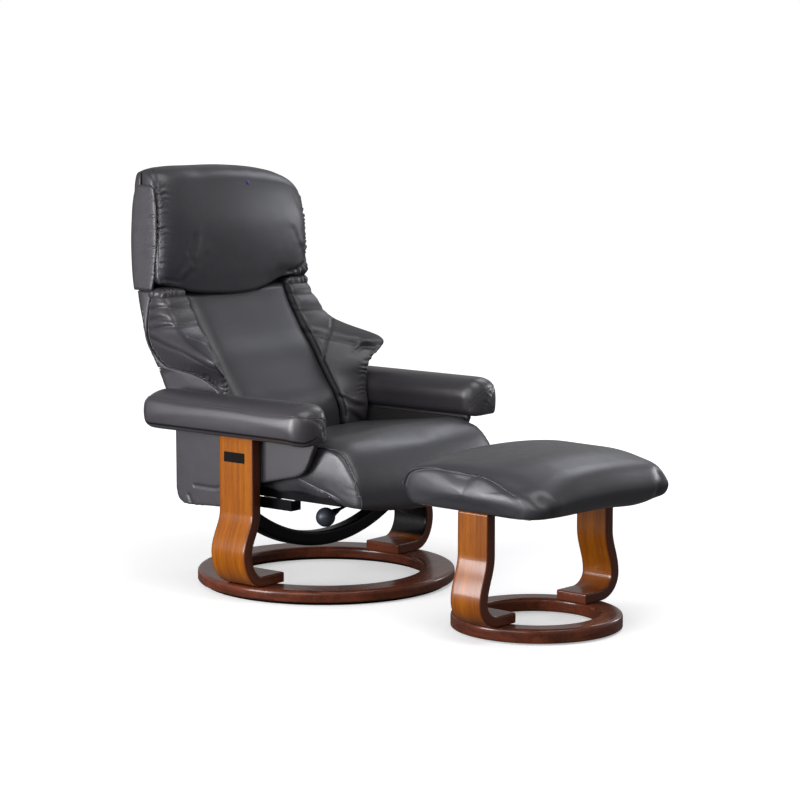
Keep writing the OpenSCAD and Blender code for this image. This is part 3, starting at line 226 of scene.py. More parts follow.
# Soft top of a wing [middle x, half width, middle y, half depth, middle z, half height], and the pad on the
# shell's edge [half width, middle y, half depth, middle z, half height]
BOLSTER = (246, 46, 341, 35, 764, 18)
BOLSTER_GATHERS = ((291, 360, 772), (290, 310, 770), (205, 306, 770))
TOP_PAD = (283, 378, 31, 765, 10)

# Headrest [half width, low, top, front, split], and the flap [low, top, rear]
HEAD = (290, 780, 1096, 292, 390)
HEAD_FALL = 60
# Side seam of the pillow [x, y, z, share of the fall], given for the left side, where it falls by HEAD_FALL
HEAD_SEAM = np.array([[272, 362, 1088, 1], [280, 345, 1066, 1], [282, 336, 1020, 0.5], [283, 334, 920, 0],
                      [283, 336, 850, 0], [282, 345, 798, 0]])
# Folds of the pillow [width, height, side of the valley, line], and the creases in its lower corners
HEAD_FOLDS = (
    (13, 4.6, (-12, 0, -10), ((-169, 299, 926), (-196, 300, 866), (-249, 311, 802))),
    (11, 3.6, (-8, 0, -10), ((-139, 296, 878), (-186, 299, 834), (-236, 308, 803))),
    (15, 3.0, (8, 0, -16), ((268, 325, 850), (235, 304, 880), (205, 300, 930))),
    (14, 2.4, (10, 0, -12), ((262, 328, 960), (240, 306, 985), (215, 303, 1020))))
HEAD_CREASE = ((196, 303, 792), (241, 305, 801), (276, 309, 812), (302, 322, 846))
HEAD_TUCK = ((-282, 322, 806), (-262, 308, 803), (-238, 300, 799))
# Side panel: [height, front, rear] of its outline, the left one's share of that height, its gathers and its piping,
# given for the left side
HEAD_SIDE = np.array([[774, 352, 416], [800, 345, 420], [864, 336, 424.5], [905, 334, 425], [958, 334, 422],
                      [1005, 335, 417], [1030, 338, 411], [1046, 343, 403], [1053, 352, 392]])
HEAD_SIDE_LOWER = 0.82
HEAD_SIDE_GATHERS = ((293, 346, 1030), (293, 341, 960), (293, 341, 880), (293, 349, 800))
HEAD_SIDE_EDGE = ((292, 355, 1045), (292, 337, 1006), (292, 335, 905), (292, 345, 805))
FLAP = (775, 1091, 424)

# How far the headrest's front edge lies above its low level, from its right side to its left
UNDER_PLACES = np.array([-1, -0.89, -0.7, -0.49, -0.18, 0.2, 0.4, 0.6, 0.76, 0.89, 1])
UNDER_RISES = np.array([18, 7, -10, -18, -26, -24, -14, 0, 3, 3, 6])
HEAD_SWELL = 13

# Stud [place, radius, height]
STUD = ((39, 312, 1048), 6.5, 2.6)

# How full the headrest is from its right side to its left: places across, and shares of its height
CROWN_PLACES = np.array([-1, -0.93, -0.8, -0.45, 0, 0.25, 0.5, 0.7, 0.88, 1])
CROWN_SHARES = np.array([0.99, 1.006, 1.018, 1.022, 1.014, 0.995, 0.963, 0.92, 0.85, 0.76])

# Footstool cushion [width, depth, height, low]
STOOL = (510, 438, 122, 317)
STOOL_TUCK = 0.24
STOOL_SAG = 9
STOOL_CORNERS = (55, 8)
# Piping seam of the footstool's left side, and the tuck and the fold of its front corner
STOOL_SEAM = ((252, 220, 364), (251, 209, 383), (250, 180, 404), (250, 127, 409), (250, 70, 410), (250, 13, 408),
              (250, -32, 405), (250, -77, 396), (250, -110, 382), (251, -140, 371))
STOOL_PINCH = ((226, -196, 366), (212, -212, 348), (206, -220, 328))
STOOL_FOLD = ((190, -205, 362), (182, -216, 345), (180, -222, 326))


# ---------------------------------------------------------------- shapes


def even(points, count, closed=False):
    """The same line with its points spaced evenly by running length."""
    line = np.vstack([points, points[:1]]) if closed else np.asarray(points, float)
    run = np.concatenate([[0], np.cumsum(np.linalg.norm(np.diff(line, axis=0), axis=1))])
    at = np.linspace(0, run[-1], count, endpoint=not closed)
    return np.stack([np.interp(at, run, line[:, k]) for k in range(line.shape[1])], 1)


def unit(vectors):
    """Vectors divided by their lengths."""
    return vectors / np.maximum(np.linalg.norm(vectors, axis=-1, keepdims=True), 1e-9)


def rounded(corners, count):
    """Closed outline through corners [across, up, cut], spaced evenly.

    Each corner is a parabola that leaves one edge and arrives along the next, cut lengths from the corner.
    """
    table = np.array(corners, float)
    at, cut = table[:, :2], table[:, 2:]
    start = at + cut * unit(np.roll(at, 1, axis=0) - at)
    end = at + cut * unit(np.roll(at, -1, axis=0) - at)
    t = np.linspace(0, 1, CORNER_STEPS)[None, :, None]
    curve = (1 - t) ** 2 * start[:, None] + 2 * t * (1 - t) * at[:, None] + t**2 * end[:, None]
    return even(curve.reshape(-1, 2), count, closed=True)


def flow(at, places, values):
    """Smooth curve through values at places: cubic pieces whose slopes are the central differences."""
    slopes = np.gradient(values, places)
    i = np.clip(np.searchsorted(places, at) - 1, 0, len(places) - 2)
    h = places[i + 1] - places[i]
    t = np.clip((at - places[i]) / h, 0, 1)
    return ((1 + 2 * t) * (1 - t) ** 2 * values[i] + t * (1 - t) ** 2 * h * slopes[i]
            + t * t * (3 - 2 * t) * values[i + 1] + t * t * (t - 1) * h * slopes[i + 1])


def curve(points, count):
    """Smooth line through a row of points, spaced evenly."""
    points = np.array(points, float)
    run = np.concatenate([[0], np.cumsum(np.linalg.norm(np.diff(points, axis=0), axis=1))])
    at = np.linspace(0, run[-1], count * 4)
    return even(np.stack([flow(at, run, points[:, k]) for k in range(3)], 1), count)


def spread(count):
    """Places from -1 to 1 that crowd towards both ends as a sine does."""
    return np.sin(np.linspace(-np.pi / 2, np.pi / 2, count))


def circle(count):
    """Angles of a full turn."""
    return np.linspace(0, 2 * np.pi, count, endpoint=False)


def oval(count, wide, wide_power, tall, tall_power):
    """Closed outline: powers of the cosine and the sine, which keep their signs."""
    turn = circle(count)
    return np.stack([half * np.sign(way) * np.abs(way) ** power for half, way, power in (
        (wide, np.cos(turn), wide_power), (tall, np.sin(turn), tall_power))], 1)


def skin(rings):
    """Points and faces of a closed skin: quads between rings, and a fan to the middle of each end ring."""
    m, n, _ = rings.shape
    k = np.arange(m * n).reshape(m, n)
    after = np.roll(k, -1, axis=1)
    quads = np.stack([k[:-1], after[:-1], after[1:], k[1:]], -1).reshape(-1, 4)
    first = np.stack([np.full(n, m * n), after[0], k[0]], -1)
    last = np.stack([np.full(n, m * n + 1), k[-1], after[-1]], -1)
    points = np.vstack([rings.reshape(-1, 3), rings[0].mean(0), rings[-1].mean(0)])
    return outward(points, quads.tolist() + first.tolist() + last.tolist())


def outward(points, faces):
    """Turns every face over where the skin's volume, summed over its faces, comes out negative."""
    corners = np.array([face[:3] for face in faces])
    a, b, c = points[corners[:, 0]], points[corners[:, 1]], points[corners[:, 2]]
    fourth = np.array([face[3] if len(face) == 4 else face[2] for face in faces])
    d = points[fourth]
    volume = (np.einsum("ij,ij->i", a, np.cross(b, c)) + np.einsum("ij,ij->i", a, np.cross(c, d))).sum()
    return points, [face[::-1] for face in faces] if volume < 0 else faces


def capped(rings, swell, count):
    """Rings with an end cap at each end: the end ring drawn in to its middle on a curve that stands out by swell.

    At size s of the ring, the cap stands swell times the root of 1 - s to the power 2.5 beyond the end.
    """
    way = unit(rings[-1].mean(0) - rings[0].mean(0))
    size = np.linspace(1, 0.06, count + 1)[1:, None, None]
    rise = swell * np.sqrt(1 - size**2.5) * way
    low, high = rings[0].mean(0), rings[-1].mean(0)
    start = (low + (rings[0] - low) * size - rise)[::-1]
    end = high + (rings[-1] - high) * size + rise
    return np.concatenate([start, rings, end])


def inset(distance, radius):
    """How far a rounded end has drawn in at a distance from its tip: a quarter circle of the radius."""
    left = np.clip(radius - distance, 0, radius)
    return radius - np.sqrt(np.maximum(radius**2 - left**2, 0))


def nearest_of(points, places):
    """For each place, the number of the point nearest to it."""
    return np.argmin(((places[:, None, :] - points[None, :, :]) ** 2).sum(-1), axis=1)


def near_line(points, line):
    """Distance of every point from a line, and the running length of the nearest place on it."""
    best = np.full(len(points), np.inf)
    run = np.zeros(len(points))
    start = 0.0
    for a, b in zip(line[:-1], line[1:]):
        d = b - a
        length = np.linalg.norm(d)
        t = np.clip((points - a) @ d / max(length**2, 1e-9), 0, 1)
        gap = np.linalg.norm(points - a - t[:, None] * d, axis=1)
        closer = gap < best
        best[closer] = gap[closer]
        run[closer] = start + t[closer] * length
        start += length
    return best, run / start, start


# ---------------------------------------------------------------- meshes


def build(name, points, faces):
    """Mesh object from points in millimetres and a list of faces."""
    mesh = bpy.data.meshes.new(name)
    mesh.from_pydata((np.asarray(points) * MM).tolist(), [], faces)
    mesh.shade_smooth()
    piece = bpy.data.objects.new(name, mesh)
    bpy.context.scene.collection.objects.link(piece)
    return piece


def read(piece):
    """Points in millimetres and normals of a piece."""
    mesh = piece.data
    count = len(mesh.vertices)
    points = np.empty(count * 3, np.float32)
    mesh.vertices.foreach_get("co", points)
    normals = np.empty(count * 3, np.float32)
    mesh.vertex_normals.foreach_get("vector", normals)
    return points.reshape(-1, 3).astype(float) / MM, normals.reshape(-1, 3).astype(float)


def write(piece, points):
    """Puts points in millimetres back into a piece."""
    piece.data.vertices.foreach_set("co", (points * MM).astype(np.float32).ravel())
    piece.data.update()


def mark(piece, name, values):
    """Keeps a number or a vector for each point of a piece, for its material to read; one number serves all."""
    values = np.asarray(values, np.float32)
    kind, key = ("FLOAT_VECTOR", "vector") if values.ndim == 2 else ("FLOAT", "value")
    values = values if values.ndim else np.full(len(piece.data.vertices), values)
    attribute = piece.data.attributes.get(name) or piece.data.attributes.new(name, kind, "POINT")
    attribute.data.foreach_set(key, values.ravel())


def settle_modifiers(piece):
    """Replaces a piece's mesh by the one its modifiers give, and takes the modifiers away."""
    bpy.context.view_layer.update()
    shown = piece.evaluated_get(bpy.context.evaluated_depsgraph_get())
    mesh = bpy.data.meshes.new_from_object(shown)
    piece.modifiers.clear()
    piece.data = mesh
    mesh.shade_smooth()


def finer(piece):
    """One round of subdivision, applied."""
    modifier = piece.modifiers.new("finer", "SUBSURF")
    modifier.levels = modifier.render_levels = 1
    settle_modifiers(piece)


def evened(piece, values, rounds):
    """Values at a piece's points, averaged with those of their neighbours again and again."""
    edges = np.empty(len(piece.data.edges) * 2, np.int32)
    piece.data.edges.foreach_get("vertices", edges)
    a, b = edges.reshape(-1, 2).T
    count = (np.bincount(a, minlength=len(values)) + np.bincount(b, minlength=len(values)))[:, None]
    for _ in range(rounds):
        near = np.stack([np.bincount(a, values[b, k], len(values)) + np.bincount(b, values[a, k], len(values))
                         for k in range(values.shape[1])], 1)
        values = (values + near / np.maximum(count, 1)) / 2
    return values


def plump(piece, rise, rounds):
    """Blows the cover up with cloth under pressure; no point moves further than rise.

    The movement is evened out over its neighbours, so that the cover swells without a crumpled skin.
    """
    scene = bpy.context.scene
    before, _ = read(piece)
    cloth = piece.modifiers.new("cover", "CLOTH")
    cloth.settings.effector_weights.gravity = 0
    for title, value in CLOTH.items():
        setattr(cloth.settings, title, value)
    cloth.point_cache.frame_start = 1
    cloth.point_cache.frame_end = CLOTH_FRAMES
    for step in range(1, CLOTH_FRAMES + 1):
        scene.frame_set(step)
    shown = piece.evaluated_get(bpy.context.evaluated_depsgraph_get())
    after = np.empty(len(before) * 3, np.float32)
    shown.data.vertices.foreach_get("co", after)
    move = evened(piece, after.reshape(-1, 3) / MM - before, rounds)
    length = np.linalg.norm(move, axis=1, keepdims=True)
    piece.modifiers.clear()
    scene.frame_set(1)
    write(piece, before + move * np.minimum(1, rise / np.maximum(length, 1e-6)))


class Cover:
    """A cover being sewn: seams draw in, gathers ripple beside a seam and folds stand up, all along lines."""

    def __init__(self, piece):
        self.piece = piece
        self.points, self.normals = read(piece)
        self.painted_shade = np.zeros(len(self.points))
        self.lift = np.zeros(len(self.points))

    def laid(self, line):
        """The line with each of its points moved to the nearest point of the cover, and smoothed."""
        line = even(np.asarray(line, float), 48)
        line = self.points[nearest_of(self.points, line)]
        for _ in range(3):
            line[1:-1] = (line[:-2] + 2 * line[1:-1] + line[2:]) / 4
        return line

    def seam(self, line, width, depth, dark=1.0):
        """Draws in by depth times a bell curve of the distance to the line, and lays painted shade along it by the
        share dark.
        """
        gap, _, _ = near_line(self.points, self.laid(line))
        bell = np.exp(-((gap / width) ** 2))
        self.lift -= depth * bell
        self.painted_shade = np.maximum(self.painted_shade, dark * np.exp(-((gap / (0.6 * width)) ** 2)))

    def gathers(self, line, pitch, reach, height, seed=0.0):
        """Ripples across the line: a sine of the running length, which fades with distance and at both ends."""
        gap, share, length = near_line(self.points, self.laid(line))
        run = share * length
        phase = (2 * np.pi * run / pitch + 1.4 * np.sin(run / pitch * 1.7 + seed)
                 + 0.9 * np.sin(gap / reach * 3 + seed))
        size = 0.65 + 0.35 * np.sin(run / pitch * 0.9 + 2.1 * seed)
        fade = np.exp(-((gap / reach) ** 2)) * np.sin(np.pi * np.clip(share, 0, 1)) ** 0.4
        self.lift += height * size * np.sin(phase) * fade

    def fold(self, line, width, height, side=None):
        """Ridge along the line with a shallow valley beside it, on the given side where there is one, with painted
        shade in the valley.
        """
        line = self.laid(line)
        gap, share, _ = near_line(self.points, line)
        taper = np.sin(np.pi * np.clip(share, 0.02, 0.98)) ** 0.6
        self.lift += taper * height * np.exp(-((gap / width) ** 2))
        if side is not None:
            offset, _, _ = near_line(self.points, self.laid(line + np.asarray(side, float)))
            valley = np.exp(-((offset / (0.8 * width)) ** 2)) * taper
            self.lift -= height * valley
            self.painted_shade = np.maximum(self.painted_shade, 0.45 * valley)

    def roll(self, places, width, height, inner):
        """Soft fold that runs across the cover at heights given for places along y, with a tight crease below in
        painted shade.

        It is left out of the part nearer the middle than inner, and fades at both ends.
        """
        x, y, z = self.points.T
        ys, zs = np.array(sorted(places), float).T
        up = (z - np.interp(y, ys, zs)) / width
        fade = np.clip((y - ys[0] + 18) / 26, 0, 1) * np.clip((ys[-1] + 4 - y) / 14, 0, 1)
        fade = fade * np.clip((np.abs(x) - inner) / 14, 0, 1)
        crease = np.exp(-(((up + 1.35) / 0.55) ** 2)) * fade
        self.lift += height * (np.exp(-(up**2)) * fade - 0.75 * crease)
        self.painted_shade = np.maximum(self.painted_shade, 0.55 * np.exp(-(((up + 1.35) / 0.4) ** 2)) * fade)

    def swell(self, centre, radius, height):
        """Soft mound of the given height round a centre."""
        gap = np.linalg.norm((self.points - np.asarray(centre, float)) / np.asarray(radius, float), axis=1)
        self.lift += height * np.exp(-(gap**2))

    def shade(self, share):
        """Paints shade on the cover: darkens it by a share given for each point."""
        self.painted_shade = np.maximum(self.painted_shade, np.clip(share, 0, 1))

    def finish(self):
        """Moves the points along their normals and keeps the painted shade of each point for its material."""
        write(self.piece, self.points + self.normals * self.lift[:, None])
        mark(self.piece, "painted_shade", self.painted_shade)


def settle(piece, line, lift):
    """Line laid on a piece: each point goes to the plane of the nearest place on the surface, then out by lift."""
    points, normals = read(piece)
    line = np.asarray(line, float)
    nearest = nearest_of(points, line)
    way = normals[nearest]
    kernel = np.array([0.1, 0.2, 0.4, 0.2, 0.1])
    padded = np.pad(way, ((2, 2), (0, 0)), mode="edge")
    way = unit(np.stack([np.convolve(padded[:, k], kernel, "valid") for k in range(3)], 1))
    drop = ((line - points[nearest]) * way).sum(1, keepdims=True)
    return line - way * drop + way * lift, way


def cord_on(name, piece, line, radius, lift):
    """Piping: a round tube along a line laid on a piece, with both ends drawn in to a point."""
    line, way = settle(piece, curve(line, CORD_RINGS), lift)
    along = unit(np.gradient(line, axis=0))
    across = unit(np.cross(along, way))
    share = np.linspace(0, 1, len(line))
    size = radius * np.sqrt(np.clip(1 - (2 * share - 1) ** 40, 0.02, 1))
    turn = circle(CORD_SIDES)
    rings = line[:, None] + size[:, None, None] * (
        np.cos(turn)[None, :, None] * way[:, None] + np.sin(turn)[None, :, None] * across[:, None])
    tube = build(name, *skin(rings))
    mark(tube, "painted_shade", 0)
    return tube


def mirrored(piece, name):
    """The same piece on the other side: x negated and every face turned over."""
    mesh = piece.data.copy()
    twin = bpy.data.objects.new(name, mesh)
    bpy.context.scene.collection.objects.link(twin)
    points = np.empty(len(mesh.vertices) * 3, np.float32)
    mesh.vertices.foreach_get("co", points)
    points[0::3] *= -1
    mesh.vertices.foreach_set("co", points)
    mesh.flip_normals()
    mesh.update()
    return twin


def on_side(line, sign):
    """A line given for the left side, on the side of the sign."""
    return np.array(line, float) * [sign, 1, 1]


def in_millimetres(context):
    """The piping's radius, the furthest rise of a cover and the height of gathers."""
    sizes = context.scene.chair_sizes
    return sizes.piping / MM, sizes.rise / MM, sizes.gather / MM


def at_stool(points):
    """Points turned and moved from the footstool's own axes to its place in front of the chair."""
    a = np.radians(STOOL_TURN)
    x, y, z = points[..., 0], points[..., 1], points[..., 2]
    return np.stack([STOOL_AT[0] + x * np.cos(a) - y * np.sin(a), STOOL_AT[1] + x * np.sin(a) + y * np.cos(a), z], -1)


# ---------------------------------------------------------------- wood and steel shapes


def bar_section(thick, wide, r, face=12, edge=4):
    """Rectangle with quarter-round corners and extra points along its faces and edges."""
    turn = np.linspace(0, np.pi / 2, 6)
    corners = [np.stack([sx * (thick / 2 - r) + r * np.cos(turn + q * np.pi / 2),
                         sy * (wide / 2 - r) + r * np.sin(turn + q * np.pi / 2)], 1)
               for q, (sx, sy) in enumerate(((1, 1), (-1, 1), (-1, -1), (1, -1)))]
    parts = []
    for q in range(4):
        count = edge if q % 2 == 0 else face
        parts += [corners[q], np.linspace(corners[q][-1], corners[(q + 1) % 4][0], count + 2)[1:-1]]
    return np.vstack(parts)


def leg_shape(leg):
    """Bent leg: a rounded bar section carried down the leg's middle line, with rounded ends.

    The line runs down the upright, swings out to the bulge on half a cosine and sweeps in to the foot on
    a quarter ellipse. Returns rings, and for each point (length along, place across, depth) for the grain.
    """
    out, bulge, bulge_z, bend_z, heel, tip, thick, foot, top, floor, wide = leg
    x0, x1, z1 = out - thick / 2, bulge - thick / 2, floor + foot / 2
    u = np.linspace(0, 1, 30)
    swing = np.stack([x0 + (x1 - x0) * (1 - np.cos(np.pi * u)) / 2, bend_z + (bulge_z - bend_z) * u,
                      np.full(30, thick)], 1)
    sweep = np.stack([heel + (x1 - heel) * np.cos(np.pi / 2 * u), z1 + (bulge_z - z1) * (1 - np.sin(np.pi / 2 * u)),
                      thick + (foot - thick) * u], 1)[1:]
    line = np.vstack([[[x0, top, thick]], swing, sweep, [[tip, z1, foot]]])
    run = np.concatenate([[0], np.cumsum(np.linalg.norm(np.diff(line[:, :2], axis=0), axis=1))])
    ends = LEG_ROUND * np.array([0, 0.08, 0.3, 0.6, 1])
    at = np.concatenate([ends, np.linspace(LEG_ROUND, run[-1] - LEG_ROUND, 120)[1:-1], run[-1] - ends[::-1]])
    x, z, t = (np.interp(at, run, line[:, k]) for k in range(3))
    way = unit(np.stack([np.gradient(x, at), np.gradient(z, at)], 1))
    draw = inset(np.minimum(at, run[-1] - at), LEG_ROUND)
    section = bar_section(thick, wide, LEG_ROUND)
    p = section[None, :, 0] * ((t - 2 * draw) / thick)[:, None]
    q = section[None, :, 1] * ((wide - 2 * draw) / wide)[:, None]
    rings = np.stack([x[:, None] - way[:, 1:] * p, q, z[:, None] + way[:, :1] * p], -1)
    grain = np.stack([np.broadcast_to(at[:, None], p.shape), q, p], -1)
    return rings, grain


def with_poles(values):
    """Values at ring points, with those of the two pole points added."""
    return np.vstack([values.reshape(-1, values.shape[-1]), values[0].mean(0), values[-1].mean(0)])


def ring_shape(ring):
    """Wooden ring: a rounded section turned round the axis, cut from four boards with straight grain."""
    hole, outer, low, high = ring
    section = rounded([[hole, low, 2], [outer, low, 2], [outer, high, 11], [hole, high, 11]], 72)
    turn = circle(192)
    r, z = section[None, :, 0], section[None, :, 1]
    rings = np.stack([r * np.cos(turn)[:, None], r * np.sin(turn)[:, None], np.broadcast_to(z, (192, 72))], -1)
    board = np.floor(turn / (np.pi / 2) + 0.5) * np.pi / 2
    along = -rings[..., 0] * np.sin(board)[:, None] + rings[..., 1] * np.cos(board)[:, None] + 700 * board[:, None]
    across = rings[..., 0] * np.cos(board)[:, None] + rings[..., 1] * np.sin(board)[:, None]
    return rings, np.stack([along, across, rings[..., 2]], -1)


def loop_skin(rings):
    """Points and faces of a skin whose last ring joins its first, as in a ring."""
    m, n, _ = rings.shape
    k = np.arange(m * n).reshape(m, n)
    after, onward = np.roll(k, -1, axis=1), np.roll(k, -1, axis=0)
    quads = np.stack([k, after, np.roll(after, -1, axis=0), onward], -1).reshape(-1, 4)
    return outward(rings.reshape(-1, 3), quads.tolist())


def bow_shape():
    """Bow: every fibre of the rounded tube is an arc about the same centre, and all end in the plates' planes."""
    deep, wide = BOW_TUBE
    section = bar_section(deep, wide, 6, face=3, edge=3)
    radius = BOW_R + section[None, :, 0]
    angle = np.linspace(-1, 1, 90)[:, None] * np.arcsin(BOW_HALF / radius)
    return np.stack([radius * np.sin(angle), np.broadcast_to(section[None, :, 1], angle.shape),
                     BOW_CENTRE - radius * np.cos(angle)], -1)


def plate_shape(side):
    """End plate of the bow on the given side: a flat plate with rounded edges."""
    thick, wide, low, high = BOW_PLATE
    x0, x1 = sorted((side * BOW_HALF, side * (BOW_HALF + thick)))
    section = bar_section(wide, high - low, 4, face=2, edge=2)
    at = np.array([0, 0.3, 1.0]) * PLATE_ROUND
    at = np.concatenate([at, (x1 - x0) - at[::-1]])
    draw = inset(np.minimum(at, (x1 - x0) - at), PLATE_ROUND)[:, None]
    p = section[None, :, 0] * (1 - 2 * draw / wide)
    q = section[None, :, 1] * (1 - 2 * draw / (high - low)) + (low + high) / 2
    return np.stack([np.broadcast_to((x0 + at)[:, None], p.shape), p, q], -1)


# ---------------------------------------------------------------- soft shapes


def arm_shape():
    """Arm pad: a rounded section along y, drawn in at both ends on quarter circles in plan and from the side.

    The front end keeps its underside, which hangs a little below the rest.
    """
    mid_x, mid_y, mid_z, wide, tall, length = ARM
    section = rounded([
        [-wide * 0.48, -tall / 2, 16], [wide * 0.46, -tall / 2, 13], [wide * 0.515, -tall * 0.16, 24],
        [wide * 0.452, tall * 0.3, 14], [wide * 0.12, tall / 2, 30], [-wide * 0.36, tall * 0.45, 20],
        [-wide / 2, tall * 0.1, 20]], 84)
    share = spread(120)
    y = mid_y + share * length / 2
    front, rear = y - y[0], y[-1] - y
    plan = np.maximum(inset(front, ARM_ROUND_FRONT), inset(rear, ARM_ROUND_REAR))
    high = np.maximum(inset(front, ARM_ROUND_SIDE), inset(rear, ARM_ROUND_SIDE))
    low = inset(rear, ARM_ROUND_SIDE) + inset(front, 16) - ARM_DROOP * np.clip((60 - front) / 45, 0, 1) ** 0.7
    p, q = section[None, :, 0], section[None, :, 1]
    up = np.clip(q / tall + 0.5, 0, 1)
    draw = (low[:, None] * (1 - up) - high[:, None] * up)
    squeeze = 1 - (plan / (wide / 2))[:, None]
    return np.stack([mid_x + p * squeeze, np.broadcast_to(y[:, None], draw.shape), mid_z + q + draw], -1)


def seat_shape():
    """Seat: a side outline carried across. Its crest falls and rounds over towards the sides, and the front
    roll hangs lowest in the middle."""
    half, low, top, front, rear, drop, nose = SEAT
    outline = rounded([
        [-nose, low, 0.5], [-nose - drop * 0.4, low - drop * 0.9, drop * 0.4], [-front, low - drop, drop * 0.5],
        [-front * 0.96, low + drop, drop * 1.2], [-front * 0.75, top + drop * 0.4, drop * 2.3],
        [rear, top - SEAT_FALL, drop * 0.8], [rear, low, 0.5]], 160)
    share = spread(130)[:, None]
    f = 1.045 - 0.03 * share**2 - 0.13 * np.abs(share) ** 12
    g = 1 - 0.14 * share**2 - 0.05 * np.abs(share) ** 12
    y, z = outline[None, :, 0], outline[None, :, 1]
    y = np.where(y < -nose, -nose + g * (y + nose), y)
    z = np.where(z > low, low + (z - low) * f, low + (z - low) * (1 + 0.8 * (1 - share**2)))
    lip = SEAT_LIP * np.clip((np.abs(share) * half - 280) / 3, 0, 1) * (0.8 + 0.2 * np.sin(y / 21))
    z = np.where((z < low + 2) & (y > -nose), z - lip, z)
    return np.stack([np.broadcast_to(share * half, y.shape), y, z], -1)


def back_z(level):
    """Height of a level of the back."""
    return BACK_LOW + level * (BACK_HIGH - BACK_LOW)


def back_at(shares, level):
    """How far back a surface lies at a level."""
    return BACK_Y + BACK_REACH * flow(np.asarray(level, float), LEVELS, shares)


def panel_shape():
    """Centre panel: a flat oval section carried up the front of the back, thin at its lower and upper ends."""
    level = 0.04 + 0.96 * (spread(110) + 1) / 2
    low, high = np.minimum(level, 0.99) - 0.03, np.minimum(level, 0.99) + 0.01
    way = unit(np.stack([back_at(FRONTS, high) - back_at(FRONTS, low), back_z(high) - back_z(low)], 1))
    end = np.minimum(1, np.minimum((level - 0.025) / 0.06, (1.012 - level) / 0.06))
    thin = 1 - 0.6 * (1 - end) ** 2
    mid = np.stack([back_at(FRONTS, level), back_z(level)], 1) + PANEL_THICK / 2 * np.stack([way[:, 1], -way[:, 0]], 1)
    section = even(oval(240, PANEL_HALF, 0.3, PANEL_THICK / 2, 0.6), 110, closed=True)
    t = section[None, :, 1] * thin[:, None]
    return np.stack([np.broadcast_to(section[None, :, 0], t.shape), mid[:, :1] - t * way[:, 1:],
                     mid[:, 1:] + t * way[:, :1]], -1)


def wing_section(level):
    """Corners of the wing's section at a level: inner rear, seam on the side, flared tip and inner front."""
    level = np.asarray(level, float)
    body = np.minimum(level, 0.99)
    front = np.minimum(back_at(FRONTS, body), back_at(SHELLS, body) - 24)
    rear = np.maximum(back_at(SHELLS, body), front + 24)
    seam = flow(level, SEAM_LEVELS, SEAM_YS)
    forward = flow(body, WING_ROWS[:, 0], WING_ROWS[:, 1])
    out = flow(body, WING_ROWS[:, 0], WING_ROWS[:, 2])
    side, inner = BACK_HALF - 0.3, PANEL_HALF + 1.2
    return rear, seam, front, side + WING_OUT * out, front - WING_FORWARD * forward, side, inner


def wing_shape():
    """Wing: a soft-cornered section carried up the side of the back, closed over the top by a dome.

    Above WING_DOME the section shrinks towards a place near its rear by the root of 1 - u squared.
    """
    levels = np.concatenate([0.15 + 0.8 * np.linspace(0, 1, 110, endpoint=False),
                             WING_DOME + (WING_TOP - WING_DOME) * np.sin(np.linspace(0, np.pi / 2 - 0.04, 22))])
    rear, seam, front, tip_x, tip_y, side, inner = wing_section(levels)
    rings = []
    for k, level in enumerate(levels):
        puff = 9 * np.clip((level - 0.56) / 0.12, 0, 1) + 3 * np.clip((0.5 - level) / 0.1, 0, 1)
        puff = puff if level > 0.6 else min(puff, 3.5)
        mid_x, mid_y = (side + tip_x[k]) / 2 + puff, (seam[k] + tip_y[k]) / 2
        gap = max(abs(seam[k] - tip_y[k]), 8)
        outline = rounded([
            [inner, rear[k], 5], [side, max(seam[k], tip_y[k] + 6), min(6, gap * 0.3)], [mid_x, mid_y, gap * 0.24],
            [tip_x[k], tip_y[k], min(14, gap * 0.3)],
            [(inner + tip_x[k]) / 2, (front[k] + tip_y[k]) / 2 - 7, 24], [inner, front[k] - WING_PROUD, 9]], 96)
        if level > WING_DOME:
            size = np.sqrt(max(1 - ((level - WING_DOME) / (WING_TOP - WING_DOME)) ** 2.2, 0.0004))
            centre = np.array([side - 36, rear[k] + 8])
            outline = centre + (outline - centre) * [size**0.6, size]
        rings.append(np.column_stack([outline, np.full(96, back_z(level))]))
    return np.array(rings)


def wing_face(level, across):
    """Point on the wing's front face: across 0 is beside the panel and 1 is the flared edge."""
    _, _, front, tip_x, tip_y, _, inner = wing_section(level)
    across = np.asarray(across, float)
    return np.stack([inner + (tip_x - inner) * across, front + (tip_y - front) * across - 12 * across * (1 - across),
                     back_z(np.asarray(level, float))], -1)


def wing_side(level, along):
    """Point on the wing's outer face: along 0 is the seam and 1 is the flared edge."""
    _, seam, _, tip_x, tip_y, side, _ = wing_section(level)
    along = np.asarray(along, float)
    return np.stack([side + (tip_x - side) * along + 16 * along * (1 - along), seam + (tip_y - seam) * along,
                     back_z(np.asarray(level, float))], -1)


def bolster_shape():
    """Soft top of a wing, under the headrest: an oval pad, flat below, that fills the corner beside the panel."""
    mid_x, half_x, mid_y, half_y, mid_z, half_z = BOLSTER
    rings = []
    for share in spread(50):
        size = np.sqrt(max(1 - abs(share) ** 5, 0.002))
        outline = oval(80, half_y * size**0.5, 0.6, half_z * size, 0.6) + [mid_y, mid_z]
        rings.append(np.column_stack([np.full(80, mid_x + share * half_x), outline]))
    return np.array(rings)


